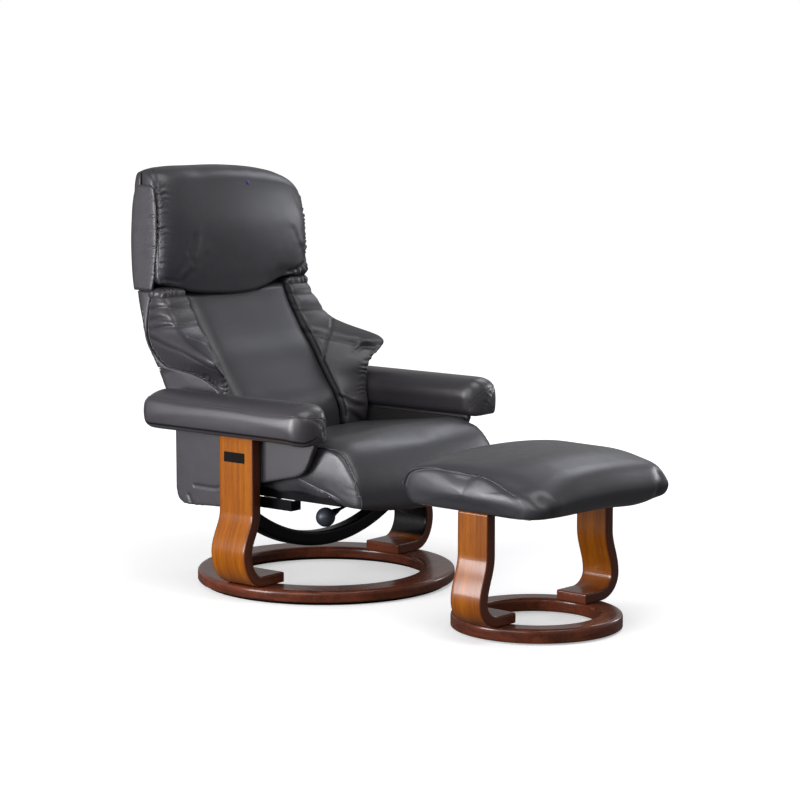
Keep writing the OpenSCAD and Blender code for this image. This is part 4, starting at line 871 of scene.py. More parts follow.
def shell_shape():
    """Back shell: a U-shaped wall in plan, with rounded rear corners, that ends at the wings' seams."""
    levels = np.linspace(0, 1, 90)
    wide, inner = BACK_HALF, BACK_HALF - SHELL_WALL
    rings = []
    for level, rear in zip(levels, back_at(REARS, levels)):
        front = min(flow(np.array(level), SEAM_LEVELS, SEAM_YS) + 0.5, rear - 8)
        reach = max(rear - front, 12)
        outline = rounded([
            [-wide, front, 3], [-wide - 1.5, (front + rear) / 2, reach * 0.2], [-wide, rear, 13],
            [0, rear + 4, 200], [wide, rear, 13], [wide + 1.5, (front + rear) / 2, reach * 0.2], [wide, front, 3],
            [inner, front, 3], [inner, rear - SHELL_WALL, 2], [-inner, rear - SHELL_WALL, 2], [-inner, front, 3]], 260)
        rings.append(np.column_stack([outline, np.full(260, back_z(level))]))
    return np.array(rings)


def crown_of(share):
    """How full the headrest is at a place across."""
    return float(flow(np.array(share, float), CROWN_PLACES, CROWN_SHARES))


def crowned(z, tall, crown, start):
    """Heights above a share of the whole height, stretched so that the top comes to the crown's share."""
    return np.where(z > tall * start, tall * start + (z - tall * start) * (crown - start) / (1 - start), z)


def head_shape():
    """Head pillow: a side outline carried across. Its depth falls off at the sides and its underside rises."""
    half, low, top, front, split = HEAD
    deep, tall = split - front, top - low
    rings = []
    for share in spread(130):
        bulge = 1 - 0.14 * share**2 - 0.25 * abs(share) ** 12
        edge = float(flow(np.array(share), UNDER_PLACES, UNDER_RISES))
        flat = max(edge, 1)
        outline = rounded([
            [deep, flat, deep * 0.05], [deep * 0.18, flat, deep * 0.02], [deep * 0.12, edge, deep * 0.02],
            [deep * 0.06, edge * 0.9, deep * 0.02], [0, tall * 0.19, deep * 0.5],
            [deep * 0.05, tall * 0.68, deep * 0.6], [deep * 0.3, tall * 0.95, deep * 0.3],
            [deep * 0.8, tall, deep * 0.13], [deep, tall * 0.99, deep * 0.05]], 140)
        z = crowned(outline[:, 1], tall, crown_of(share), 0.19)
        x = share * half + side_swell(low + z) * np.clip(share, 0, 1) ** 3
        rings.append(np.column_stack([x, split - (deep - outline[:, 0]) * bulge, low + z]))
    return np.array(rings)


def side_swell(z):
    """How far the headrest's left side stands out at a height: a bell curve about its lower part."""
    return HEAD_SWELL * np.exp(-(((z - 850) / 120) ** 2))


def flap_shape():
    """Rear part of the headrest's cover: a shallow outline behind the board, carried across."""
    half, split = HEAD[0] - 0.6, HEAD[4]
    low, top, rear = FLAP
    deep, tall = rear - split, top - low
    rings = []
    for share in spread(90):
        f = 1 - 0.18 * abs(share) ** 10
        outline = rounded([[0, 0, deep * 0.1], [0, tall, deep * 0.1], [deep * 0.5, tall * 0.985, deep * 0.3],
                           [deep * 0.78, tall * 0.9, deep * 0.4], [deep * 1.03, tall * 0.5, deep * 2],
                           [deep * 0.76, 0, deep * 0.2]], 100)
        z = crowned(outline[:, 1], tall, crown_of(share), 0.2)
        rings.append(np.column_stack([np.full(100, share * half), split + outline[:, 0] * f, low + z]))
    return np.array(rings)


def head_side_shape():
    """Side panel of the headrest: a thin lens between its front seam and the rear corner, carried upwards."""
    heights = np.linspace(HEAD_SIDE[0, 0], HEAD_SIDE[-1, 0], 70)
    fronts, rears = (flow(heights, HEAD_SIDE[:, 0], HEAD_SIDE[:, k]) for k in (1, 2))
    ends = inset(np.minimum(heights - heights[0], heights[-1] - heights), 8)
    rings = []
    for z, a, b, end in zip(heights, fronts, rears, ends):
        u = np.linspace(0, 1, 32)
        y = a + (b - a) * (1 - np.cos(np.pi * u)) / 2
        x = HEAD[0] + 1.2 + (4.4 - end * 0.4) * (1 - (2 * u - 1) ** 4) ** 0.6
        outer, inner = np.stack([x, y], 1), np.stack([np.full(32, HEAD[0] - 3.0), y], 1)[::-1]
        rings.append(np.column_stack([np.vstack([outer, inner]), np.full(64, z)]))
    return np.array(rings)


def button_shape(cushion, button):
    """Stud seated on a cushion: a low dome of revolution about the surface's own normal."""
    place, radius, height = button
    points, normals = read(cushion)
    nearest = np.argmin(((points - place) ** 2).sum(1))
    way = normals[nearest]
    across = unit(np.cross(way, (0, 0, 1)))
    up = np.cross(across, way)
    turn = circle(32)[None, :, None]
    size = np.array([1, 1, 0.94, 0.8, 0.55, 0.25])[:, None, None] * radius
    rise = np.array([-3, 0.25, 0.62, 0.86, 0.97, 1])[:, None, None] * height
    return skin(points[nearest] + size * (np.cos(turn) * across + np.sin(turn) * up) + rise * way)


def stool_shape():
    """Footstool cushion: a side outline carried across, highest in the middle.

    The front of its right end is drawn down, where the cover is tucked under the corner, and both front corners
    are rounded in plan.
    """
    wide, deep, tall, low = STOOL
    outline = rounded([
        [-deep * 0.475, 0, tall * 0.13], [-deep * 0.525, tall * 0.3, tall * 0.2],
        [-deep * 0.44, tall * 0.74, tall * 0.28], [-deep * 0.18, tall * 0.985, tall * 0.36],
        [deep * 0.32, tall, tall * 0.4], [deep * 0.49, tall * 0.78, tall * 0.25],
        [deep * 0.515, tall * 0.34, tall * 0.2], [deep * 0.45, 0, tall * 0.12]], 150)
    share = spread(130)[:, None]
    y, z = outline[None, :, 0], outline[None, :, 1]
    f = 1 - 0.012 * share**2 - 0.03 * np.abs(share) ** 12
    g = 1 - 0.16 * share**2 - 0.05 * np.abs(share) ** 12
    tuck = STOOL_TUCK * np.clip((-share - 0.35) / 0.65, 0, 1) ** 1.5 * np.clip((-y - 20) / 134, 0, 1) ** 1.2
    round_off = inset((1 - np.abs(share)) * wide / 2, np.where(share < 0, *STOOL_CORNERS))
    y = y + round_off * np.clip(-y / (deep / 2), 0, 1)
    sag = STOOL_SAG * np.exp(-(((share - 0.6) / 0.4) ** 2)) * np.clip((-y - 110) / 80, 0, 1) * (1 - z / tall)
    return np.stack([np.broadcast_to(share * wide / 2, tuck.shape), y * f, low + z * g * (1 - tuck) - sag], -1)


# ---------------------------------------------------------------- materials


def new_group(name, inputs, outputs):
    """Empty shader node group: inputs are numbers with a default, or vectors without one; outputs are numbers."""
    group = bpy.data.node_groups.new(name, "ShaderNodeTree")
    for title, default in inputs.items():
        kind = "NodeSocketVector" if default is None else "NodeSocketFloat"
        item = group.interface.new_socket(name=title, in_out="INPUT", socket_type=kind)
        if default is not None:
            item.default_value = default
    for title in outputs:
        group.interface.new_socket(name=title, in_out="OUTPUT", socket_type="NodeSocketFloat")
    return group, group.nodes.new("NodeGroupInput"), group.nodes.new("NodeGroupOutput")


def feed(tree, node, values):
    """Gives a node's inputs, by name or number, their links, numbers, vectors or colours."""
    for title, value in values.items():
        slot = node.inputs[title]
        if isinstance(value, bpy.types.NodeSocket):
            tree.links.new(value, slot)
        elif slot.type == "RGBA":
            slot.default_value = (*value[:3], 1)
        else:
            slot.default_value = value


def node_with(tree, kind, values, **settings):
    """New shader node with its settings and inputs."""
    node = tree.nodes.new("ShaderNode" + kind)
    for title, value in settings.items():
        setattr(node, title, value)
    feed(tree, node, values)
    return node


def maths(tree, operation, a, b=None):
    """Math node on sockets or numbers."""
    values = {0: a} if b is None else {0: a, 1: b}
    return node_with(tree, "Math", values, operation=operation).outputs[0]


def weighed(tree, a, share_a, b, share_b):
    """Sum of two sockets, each times its share."""
    return maths(tree, "ADD", maths(tree, "MULTIPLY", a, share_a), maths(tree, "MULTIPLY", b, share_b))


def blended(tree, share, a, b):
    """Colour mix of sockets or colours."""
    return node_with(tree, "Mix", {0: share, 6: a, 7: b}, data_type="RGBA").outputs[2]


def ranged(tree, value, low, high, to_low, to_high):
    """Map range node on a socket."""
    return node_with(tree, "MapRange", {0: value, 1: low, 2: high, 3: to_low, 4: to_high}).outputs[0]


def noise(tree, vector, scale, detail, rough, warp=0.0):
    """Noise node's value at a vector."""
    return node_with(tree, "TexNoise", {"Vector": vector, "Scale": scale, "Detail": detail, "Roughness": rough,
                                        "Distortion": warp}).outputs[0]


def stretched(tree, vector, scale):
    """Vector times a scale along each axis."""
    return node_with(tree, "Mapping", {"Vector": vector, "Scale": scale}).outputs[0]


def leather_group():
    """Grain of finished leather: fine pebbles in a net of creases, soft clouds of tone and a worn bloom."""
    tree, start, end = new_group("leather_grain", {"Place": None, "Pebble": 620.0}, ("Tone", "Height", "Roughness"))
    place = start.outputs["Place"]
    cells = node_with(tree, "TexVoronoi", {"Vector": place, "Scale": start.outputs["Pebble"]},
                      feature="DISTANCE_TO_EDGE")
    pebble = ranged(tree, cells.outputs["Distance"], 0.0, 0.35, 0.0, 1.0)
    crease = noise(tree, place, 160.0, 4.0, 0.6)
    cloud = noise(tree, place, 9.0, 3.0, 0.55)
    bloom = noise(tree, place, 34.0, 2.0, 0.5)
    feed(tree, end, {"Tone": weighed(tree, cloud, 0.6, pebble, 0.4), "Height": weighed(tree, pebble, 0.5, crease, 0.6),
                     "Roughness": weighed(tree, bloom, 0.16, crease, 0.06)})
    return tree


def wood_group():
    """Straight wood grain: broad streaks, narrow growth lines and fine pores, all drawn out along the first axis."""
    tree, start, end = new_group("wood_grain", {"Grain": None}, ("Streak", "Pores", "Height"))
    grain = start.outputs["Grain"]
    broad = noise(tree, stretched(tree, grain, (2.2, 34.0, 30.0)), 1.0, 3.0, 0.55, 0.3)
    lines = noise(tree, stretched(tree, grain, (5.0, 230.0, 160.0)), 1.0, 4.0, 0.6, 0.2)
    pores = noise(tree, stretched(tree, grain, (45.0, 1400.0, 1100.0)), 1.0, 2.0, 0.5)
    dots = ranged(tree, pores, 0.36, 0.5, 0.0, 1.0)
    feed(tree, end, {"Streak": weighed(tree, broad, 0.55, lines, 0.45), "Pores": dots,
                     "Height": weighed(tree, lines, 0.4, dots, 0.6)})
    return tree


def speckle_group():
    """Fine uneven surface of paint, moulded plastic or zinc: speckles, and soft patches of tone."""
    tree, start, end = new_group("fine_speckle", {"Place": None, "Size": 700.0}, ("Tone", "Height", "Roughness"))
    place = start.outputs["Place"]
    patch = noise(tree, place, 14.0, 3.0, 0.5)
    feed(tree, end, {"Tone": patch, "Height": noise(tree, place, start.outputs["Size"], 2.0, 0.6),
                     "Roughness": maths(tree, "MULTIPLY", patch, 0.2)})
    return tree


def weave_group():
    """Flat weave of tape and felt: two sets of threads that pass over and under each other."""
    tree, start, end = new_group("flat_weave", {"Place": None, "Threads": 900.0}, ("Tone", "Height"))
    apart = node_with(tree, "SeparateXYZ", {0: start.outputs["Place"]})
    waves = [maths(tree, "SINE", maths(tree, "MULTIPLY", apart.outputs[k], start.outputs["Threads"])) for k in (0, 2)]
    cross = maths(tree, "MULTIPLY", waves[0], waves[1])
    fuzz = noise(tree, start.outputs["Place"], 420.0, 3.0, 0.6)
    height = maths(tree, "ADD", ranged(tree, cross, -1.0, 1.0, 0.0, 0.7), maths(tree, "MULTIPLY", fuzz, 0.3))
    feed(tree, end, {"Tone": fuzz, "Height": height})
    return tree


def new_material(name):
    """Material with its shader, and the shader's tree."""
    material = bpy.data.materials.new(FINISH + name)
    material.use_nodes = True
    tree = material.node_tree
    return material, tree, tree.nodes["Principled BSDF"]


def place_of(tree):
    """Object coordinates."""
    return tree.nodes.new("ShaderNodeTexCoord").outputs["Object"]


def kept(tree, name, output="Fac"):
    """A number or vector kept on the piece's points."""
    return node_with(tree, "Attribute", {}, attribute_name=name).outputs[output]


def bumped(tree, height, strength, distance):
    """Normal from a bump of the given height."""
    return node_with(tree, "Bump", {"Strength": strength, "Distance": distance, "Height": height}).outputs[0]


def placed(tree, group, **values):
    """A node group placed in a material, with its own values."""
    return node_with(tree, "Group", values, node_tree=group).outputs


def scaled(colour, factor):
    """Colour times a factor."""
    return tuple(min(1.0, c * factor) for c in colour[:3])


def leather_material(name, colour, group, gloss, pebble, coat=0.2):
    """Leather: tone and grain from the group, duller in the seams, and darkened by the painted shade kept on its
    points.
    """
    _, tree, shader = new_material(name)
    grain = placed(tree, group, Place=place_of(tree), Pebble=pebble)
    tone = blended(tree, grain["Tone"], scaled(colour, 0.78), scaled(colour, 1.24))
    painted_shade = kept(tree, "painted_shade")
    rough = maths(tree, "ADD", maths(tree, "ADD", grain["Roughness"], gloss - 0.1),
                  maths(tree, "MULTIPLY", painted_shade, 0.25))
    # The painted shade darkens the base colour towards 0.18 of the leather's
    feed(tree, shader, {
        "Base Color": blended(tree, maths(tree, "MULTIPLY", painted_shade, 0.8), tone, scaled(colour, 0.18)),
        "Roughness": rough, "Specular IOR Level": 0.55, "Coat Weight": coat, "Coat Roughness": 0.42,
        "Normal": bumped(tree, grain["Height"], 0.22, 0.0005)})


def wood_material(name, light, dark, rim, group):
    """Stained, lacquered wood: two-tone streaks, darker red staining where marked rim, darker towards the foot,
    painted shadow where marked black.
    """
    _, tree, shader = new_material(name)
    grain = placed(tree, group, Grain=kept(tree, "grain", "Vector"))
    streak = ranged(tree, grain["Streak"], 0.4, 0.6, 0.0, 1.0)
    face = blended(tree, kept(tree, "darker_foot"), blended(tree, streak, dark, light), scaled(rim, 1.6))
    edge = blended(tree, streak, scaled(rim, 0.7), scaled(rim, 1.25))
    both = blended(tree, kept(tree, "rim"), face, edge)
    pores = blended(tree, grain["Pores"], scaled(dark, 0.55), both)
    # Where the piece is marked black, the base colour turns to the painted shadow's colour
    feed(tree, shader, {
        "Base Color": blended(tree, kept(tree, "black"), blended(tree, 0.45, both, pores), PAINTED_SHADOW),
        "Roughness": ranged(tree, grain["Streak"], 0.3, 0.7, 0.32, 0.24), "Specular IOR Level": 0.25,
        "Coat Weight": 0.36, "Coat Roughness": 0.13, "Normal": bumped(tree, grain["Height"], 0.08, 0.0002)})


def plain_material(name, colour, group, rough, metal, size, strength, vary, shine):
    """Paint, plastic or metal with a fine uneven surface."""
    _, tree, shader = new_material(name)
    speck = placed(tree, group, Place=place_of(tree), Size=size)
    feed(tree, shader, {
        "Base Color": blended(tree, speck["Tone"], scaled(colour, 1 - vary), scaled(colour, 1 + vary)),
        "Roughness": maths(tree, "ADD", speck["Roughness"], rough - 0.1), "Metallic": metal,
        "Specular IOR Level": shine, "Normal": bumped(tree, speck["Height"], strength, 0.0002)})


def woven_material(name, colour, group, threads):
    """Tape or felt."""
    _, tree, shader = new_material(name)
    weave = placed(tree, group, Place=place_of(tree), Threads=threads)
    feed(tree, shader, {"Base Color": blended(tree, weave["Tone"], scaled(colour, 0.75), scaled(colour, 1.25)),
                        "Roughness": 0.9, "Normal": bumped(tree, weave["Height"], 0.3, 0.0005)})


def board_material(name, colour, group):
    """Plywood: long grain over the face, from Object coordinates."""
    _, tree, shader = new_material(name)
    grain = placed(tree, group, Grain=place_of(tree))
    streak = ranged(tree, grain["Streak"], 0.3, 0.7, 0.0, 1.0)
    feed(tree, shader, {"Base Color": blended(tree, streak, scaled(colour, 0.8), colour), "Roughness": 0.6,
                        "Normal": bumped(tree, grain["Height"], 0.15, 0.0003)})


def finish_of(name):
    """A finish by name."""
    return bpy.data.materials[FINISH + name]


def piped(name, piece, line, radius, lift, body):
    """Piping on a piece, in its leather made lighter, as a painted highlight."""
    dressed(cord_on(name, piece, line, radius, lift), "piping_leather_painted_highlight", "leather", body)


def dressed(piece, material, slot, body, *nodes):
    """Gives a new piece its material, lets it ride on a body and stand for CAD nodes; slot is not used."""
    piece.data.materials.clear()
    piece.data.materials.append(finish_of(material))
    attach(piece, body)
    if nodes:
        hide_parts(*nodes)


# ---------------------------------------------------------------- settings


class ChairSizes(bpy.types.PropertyGroup):
    """Sizes that can be changed without touching the frame."""

    piping: bpy.props.FloatProperty(name="Piping", description="Radius of the piping", default=0.0021,
                                    min=0.0005, max=0.006, subtype="DISTANCE", unit="LENGTH")
    rise: bpy.props.FloatProperty(name="Rise", description="Furthest that a cover is blown up by its filling",
                                  default=0.004, min=0.0, max=0.02, subtype="DISTANCE", unit="LENGTH")
    gather: bpy.props.FloatProperty(name="Gather", description="Height of the gathers beside a seam",
                                    default=0.0022, min=0.0, max=0.006, subtype="DISTANCE", unit="LENGTH")
    pebble: bpy.props.FloatProperty(name="Pebble", description="Grain cells for each metre of leather",
                                    default=620.0, min=100.0, max=2000.0)


class ChairColours(bpy.types.PropertyGroup):
    """Colours of the finishes."""

    leather: bpy.props.FloatVectorProperty(name="Leather", description="Cover leather", size=3, subtype="COLOR",
                                           default=(0.038, 0.035, 0.041), min=0.0, max=1.0)
    seat_leather: bpy.props.FloatVectorProperty(name="Seat leather", description="Leather where one sits",
                                                size=3, subtype="COLOR", default=(0.033, 0.032, 0.039),
                                                min=0.0, max=1.0)
    amber: bpy.props.FloatVectorProperty(name="Amber", description="Light tone of the legs", size=3,
                                         subtype="COLOR", default=(0.42, 0.125, 0.004), min=0.0, max=1.0)
    brown: bpy.props.FloatVectorProperty(name="Brown", description="Dark tone of the legs", size=3,
                                         subtype="COLOR", default=(0.24, 0.06, 0.004), min=0.0, max=1.0)
    red: bpy.props.FloatVectorProperty(name="Red", description="Stain of the rings and the legs' edges", size=3,
                                       subtype="COLOR", default=(0.11, 0.027, 0.012), min=0.0, max=1.0)


# ---------------------------------------------------------------- operators


class ChairFinishes(bpy.types.Operator):
    """Makes every finish"""

    bl_idname = "chair.finishes"
    bl_label = "Finishes"

    def execute(self, context):
        tones = context.scene.chair_colours
        pebble = context.scene.chair_sizes.pebble
        leather, wood, speck, weave = leather_group(), wood_group(), speckle_group(), weave_group()
        leather_material("cover_leather", tones.leather, leather, 0.38, pebble)
        leather_material("arm_leather", tones.leather, leather, 0.31, pebble, 0.38)
        leather_material("seat_leather", tones.seat_leather, leather, 0.34, pebble)
        # The piping's leather is the cover leather made lighter: a painted highlight along the piping
        leather_material("piping_leather_painted_highlight", scaled(tones.leather, 1.15), leather, 0.34, pebble)
        wood_material("amber_wood", tones.amber, tones.brown, tones.red, wood)
        wood_material("red_wood", scaled(tones.red, 1.5), scaled(tones.red, 0.7), tones.red, wood)
        for name, colour in BOARDS:
            board_material(name, colour, wood)
        for name, colour, *values in SPECKLED:
            plain_material(name, colour, speck, *values)
        for name, colour, threads in WOVEN:
            woven_material(name, colour, weave, threads)
        return {"FINISHED"}


class ChairHardware(bpy.types.Operator):
    """Finishes the steel, plywood, plastic and webbing nodes, and makes the bow"""

    bl_idname = "chair.hardware"
    bl_label = "Hardware"

    def execute(self, context):
        for finish, nodes in REPAINTED.items():
            for node in nodes:
                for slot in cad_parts[node].material_slots:
                    slot.material = finish_of(finish)
        points, faces = [], []
        for more, quads in (skin(bow_shape()), skin(plate_shape(-1)), skin(plate_shape(1))):
            start = sum(len(p) for p in points)
            faces += [[k + start for k in face] for face in quads]
            points.append(more)
        bow = build("bow_tube", np.vstack(points), faces)
        dressed(bow, "black_paint", "black_steel", "chair", "bow")
        return {"FINISHED"}


class ChairWood(bpy.types.Operator):
    """Makes the rings and the bent legs of the chair and the footstool"""

    bl_idname = "chair.wood"
    bl_label = "Rings and legs"

    def execute(self, context):
        for name, size, body, node in (("chair_ring", CHAIR_RING, "chair", "ring_base"),
                                       ("stool_ring_wood", STOOL_RING, "footstool", "stool_ring")):
            rings, grain = ring_shape(size)
            points, faces = loop_skin(rings)
            ring = build(name, at_stool(points) if body == "footstool" else points, faces)
            mark(ring, "grain", grain.reshape(-1, 3) * MM)
            mark(ring, "rim", 0)
            mark(ring, "darker_foot", 0)
            dressed(ring, "red_wood", "red_wood", body, node)
        for node, size, body, sign, shift in (
                ("left_leg", CHAIR_LEG, "chair", 1, 0.0), ("right_leg", CHAIR_LEG, "chair", -1, 1.7),
                ("stool_left_leg", STOOL_LEG, "footstool", 1, 3.1),
                ("stool_right_leg", STOOL_LEG, "footstool", -1, 4.6)):
            rings, grain = leg_shape(size)
            points, faces = skin(on_side(rings, sign))
            leg = build(node + "_wood", at_stool(points) if body == "footstool" else points, faces)
            grain = with_poles(grain)
            wide = size[-1] / 2
            mark(leg, "grain", grain * MM + [shift, shift, 0])
            mark(leg, "rim", np.clip((np.abs(grain[:, 1]) - (wide - 4.5)) / 3, 0, 1))
            # Darker red-brown towards the foot
            mark(leg, "darker_foot", np.clip((grain[:, 0] - grain[:, 0].max() + DARKER_FOOT_FROM) / DARKER_FOOT_OVER, 0, 1))
            # The chair's legs get a black painted shadow on their inner faces, from the top nearly to the foot
            if body == "chair":
                inner = np.clip((-grain[:, 2] - (size[6] / 2 - 4)) / 2, 0, 1)
                mark(leg, "black", inner * np.clip((PAINTED_SHADOW_TO - grain[:, 0]) / 20, 0, 1))
            dressed(leg, "amber_wood", "amber_wood", body, node)
        return {"FINISHED"}


class ChairArms(bpy.types.Operator):
    """Makes the arm pads with their piping, and the side covers under them"""

    bl_idname = "chair.arms"
    bl_label = "Arms and sides"

    def execute(self, context):
        piping, rise, gather = in_millimetres(context)
        pad = build("left_arm_leather", *skin(capped(arm_shape(), 3, 5)))
        plump(pad, rise * 0.4, 80)
        cover = Cover(pad)
        seam, cap = curve(ARM_SEAM, 60), curve(ARM_CAP, 40)
        cover.seam(seam, 5, 1.2, 0.35)
        cover.gathers(cap, 14, 12, gather * 0.35, 1.0)
        cover.seam(cap, 4, 1.0, 0.35)
        cover.finish()
        cord = cord_on("left_arm_piping", pad, seam, piping * 0.6, 0.1)
        twin = mirrored(pad, "right_arm_leather")
        dressed(pad, "arm_leather", "leather", "chair", "left_arm_pad")
        dressed(twin, "arm_leather", "leather", "chair", "right_arm_pad")
        for piece in (cord, mirrored(cord, "right_arm_piping")):
            dressed(piece, "piping_leather_painted_highlight", "leather", "chair")
        for side, sign in SIDES:
            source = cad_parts[f"{side}_side_cover"]
            panel = bpy.data.objects.new(f"{side}_side_leather", source.data.copy())
            context.scene.collection.objects.link(panel)
            weld = panel.modifiers.new("weld", "WELD")
            weld.merge_threshold = 0.0001
            remesh = panel.modifiers.new("remesh", "REMESH")
            remesh.mode = "VOXEL"
            remesh.voxel_size = SIDE_VOXEL
            smooth = panel.modifiers.new("smooth", "SMOOTH")
            smooth.factor = 0.5
            smooth.iterations = SIDE_SMOOTH
            settle_modifiers(panel)
            cover = Cover(panel)
            cover.seam(on_side(SIDE_HEM, sign), 3.5, 2.4)
            cover.seam(on_side(SIDE_PLEAT, sign), 4, 2.4)
            cover.gathers(on_side(SIDE_GATHERS, sign), 16, 14, gather * 0.3, 2.0)
            cover.finish()
            dressed(panel, "cover_leather", "leather", "chair", f"{side}_side_cover")
        return {"FINISHED"}


class ChairSeat(bpy.types.Operator):
    """Makes the seat cushion with its side gussets and piping"""

    bl_idname = "chair.seat"
    bl_label = "Seat cushion"

    def execute(self, context):
        piping, rise, gather = in_millimetres(context)
        seat = build("seat_leather_cushion", *skin(capped(seat_shape(), 5, 12)))
        plump(seat, rise, 40)
        cover = Cover(seat)
        lines = [curve(on_side(SEAT_SEAM, sign), 60) for sign in (-1, 1)]
        for sign, line in zip((-1, 1), lines):
            cover.seam(line, 6, 1.2, 0.4)
            cover.gathers(line[30:], 13, 12, gather * 0.3, 0.6 + sign)
            cover.gathers(on_side(SEAT_PUCKERS, sign), 18, 16, gather * 0.8, 2.0)
            cover.swell((sign * 291, -150, 345), (20, 130, 30), 3.0)
        cover.seam(SEAT_FRONT, 4, 1.0, 0.4)
        cover.finish()
        dressed(seat, "seat_leather", "dark_leather", "seat", "seat_cushion")
        for name, line in zip(("seat_piping_right", "seat_piping_left"), lines):
            piped(name, seat, line, piping, 0.2, "seat")
        return {"FINISHED"}


class ChairBack(bpy.types.Operator):
    """Makes the centre panel, the two wings and the shell of the back"""

    bl_idname = "chair.back"
    bl_label = "Back"

    def execute(self, context):
        piping, rise, gather = in_millimetres(context)
        panel = build("back_leather_panel", *skin(panel_shape()))
        plump(panel, rise * 0.6, 12)
        cover = Cover(panel)
        levels = np.linspace(0.14, 0.97, 40)
        for sign in (-1, 1):
            edge = [np.full(40, sign * (PANEL_HALF - 2)), back_at(FRONTS, levels) - 4, back_z(levels)]
            cover.seam(np.stack(edge, 1), 6, 2.0)
        # Painted shade on the panel: dark at its seams with the wings, and softer over its rounded edges
        beside = np.abs(cover.points[:, 0]) - PANEL_HALF
        cover.shade(np.maximum((beside + 5) / 4, 0.4 * np.clip((beside + 36) / 28, 0, 1)))
        cover.swell((0, back_at(FRONTS, 0.42), back_z(0.42)), (150, 60, 90), 4.0)
        cover.swell((0, back_at(FRONTS, 0.85), back_z(0.85)), (170, 60, 60), 2.5)
        cover.finish()
        dressed(panel, "seat_leather", "dark_leather", "back", "back_cushion")
        for side, sign in SIDES:
            wing = build(f"{side}_wing_leather", *skin(on_side(wing_shape(), sign)))
            finer(wing)
            cover = Cover(wing)
            seam = on_side([wing_side(level, 0) for level in np.linspace(0.2, 0.97, 60)], sign)
            cover.seam(seam, 5, 1.8, 0.7)
            cover.gathers(seam[24:], 23, 22, gather * 0.5, 0.3)
            cover.seam(on_side([wing_face(level, 0.0) for level in np.linspace(0.2, 0.96, 40)], sign), 8, 3.4)
            # Painted shade on the wing's inner face beside the panel
            cover.shade(0.6 * np.clip((PANEL_HALF + 7 - np.abs(cover.points[:, 0])) / 4, 0, 1))
            for places in WING_DARTS:
                cover.seam(curve(on_side(places, sign), 40), 4.5, 2.6, 0.8)
            for width, height, places in WING_ROLLS:
                cover.roll(places, width, height, PANEL_HALF - 4)
            for height, width, places in WING_FOLDS:
                cover.fold(curve(on_side(places, sign), 40), width, 1.5 * height, (0, 0, -1.6 * width))
            for pitch, reach, size, places in WING_GATHERS:
                cover.gathers(curve(on_side(places, sign), 40), pitch, reach, gather * size, pitch * 0.1)
            cover.finish()
            dressed(wing, "cover_leather", "leather", "back", f"{side}_wing")
            piped(f"{side}_wing_piping", wing, seam[::-1], piping * 0.7, 0.2, "back")
            top = build(f"{side}_wing_top", *skin(on_side(bolster_shape(), sign)))
            cover = Cover(top)
            cover.gathers(on_side(BOLSTER_GATHERS, sign), 19, 26, gather)
            cover.finish()
            dressed(top, "cover_leather", "leather", "back")
            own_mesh(top)
        half_x, mid_y, half_y, mid_z, half_z = TOP_PAD
        outline = oval(48, half_y, 0.4, half_z, 0.4) + [mid_y, mid_z]
        pad = build("back_top_pad", *skin(np.array([
            np.column_stack([np.full(48, x), outline]) for x in spread(40) * half_x])))
        # The pad is darkened all over by painted shade
        mark(pad, "painted_shade", 0.5)
        dressed(pad, "cover_leather", "leather", "back")
        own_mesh(pad)
        shell = build("back_shell_leather", *skin(shell_shape()))
        mark(shell, "painted_shade", 0)
        dressed(shell, "cover_leather", "leather", "back", "back_shell")
        return {"FINISHED"}


class ChairHeadrest(bpy.types.Operator):
    """Makes the head pillow and the rear part of its cover"""

    bl_idname = "chair.headrest"
    bl_label = "Headrest"

    def execute(self, context):
        piping, rise, gather = in_millimetres(context)
        pillow = build("head_leather_pillow", *skin(capped(head_shape(), 3, 8)))
        plump(pillow, rise, 30)
        cover = Cover(pillow)
        for sign, fall in ((-1, 0), (1, HEAD_FALL)):
            seam = HEAD_SEAM[:, :3] * [sign, 1, 1]
            seam[:, 2] -= fall * HEAD_SEAM[:, 3]
            seam = curve(seam, 50)
            cover.seam(seam, 5, 1.6, 0.5)
            cover.gathers(seam[6:44] + [-sign * 8, 0, 0], 13, 18, gather * 2.1, 0.4 + sign)
        for width, height, valley, line in HEAD_FOLDS:
            cover.fold(line, width, height, valley)
        crease = curve(HEAD_CREASE, 30)
        cover.seam(crease, 6, 7.0)
        cover.swell((278, 314, 796), (34, 34, 20), 9.0)
        cover.gathers(crease[8:] + [2, 0, -16], 17, 16, gather * 2.2)
        cover.seam(curve(HEAD_TUCK, 20), 4.5, 3.2, 0.6)
        cover.swell((-276, 322, 850), (16, 26, 60), 4.5)
        cover.swell((0, 292, 930), (190, 60, 60), 3.0)
        cover.finish()
        dressed(pillow, "seat_leather", "dark_leather", "headrest", "head_pillow")
        button = build("head_stud_button", *button_shape(pillow, STUD))
        dressed(button, "stud_plastic", "blue_plastic", "headrest", "head_stud")
        flap = build("head_leather_flap", *skin(capped(flap_shape(), 2, 5)))
        mark(flap, "painted_shade", 0)
        dressed(flap, "cover_leather", "leather", "headrest", "head_flap")
        for side, sign in reversed(SIDES):
            rings = on_side(head_side_shape(), sign)
            if side == "left":
                rings[..., 2] = HEAD[1] + (rings[..., 2] - HEAD[1]) * HEAD_SIDE_LOWER
            panel = build(f"head_side_{side}", *skin(rings))
            cover = Cover(panel)
            cover.gathers(curve(on_side(HEAD_SIDE_GATHERS, sign), 40), 11, 14, gather * 0.8, 1.0)
            cover.finish()
            dressed(panel, "cover_leather", "leather", "headrest")
            if side == "right":
                edge = curve(on_side(HEAD_SIDE_EDGE, sign), 40)
                piped("head_piping", panel, edge, piping * 0.7, 0.1, "headrest")
        return {"FINISHED"}


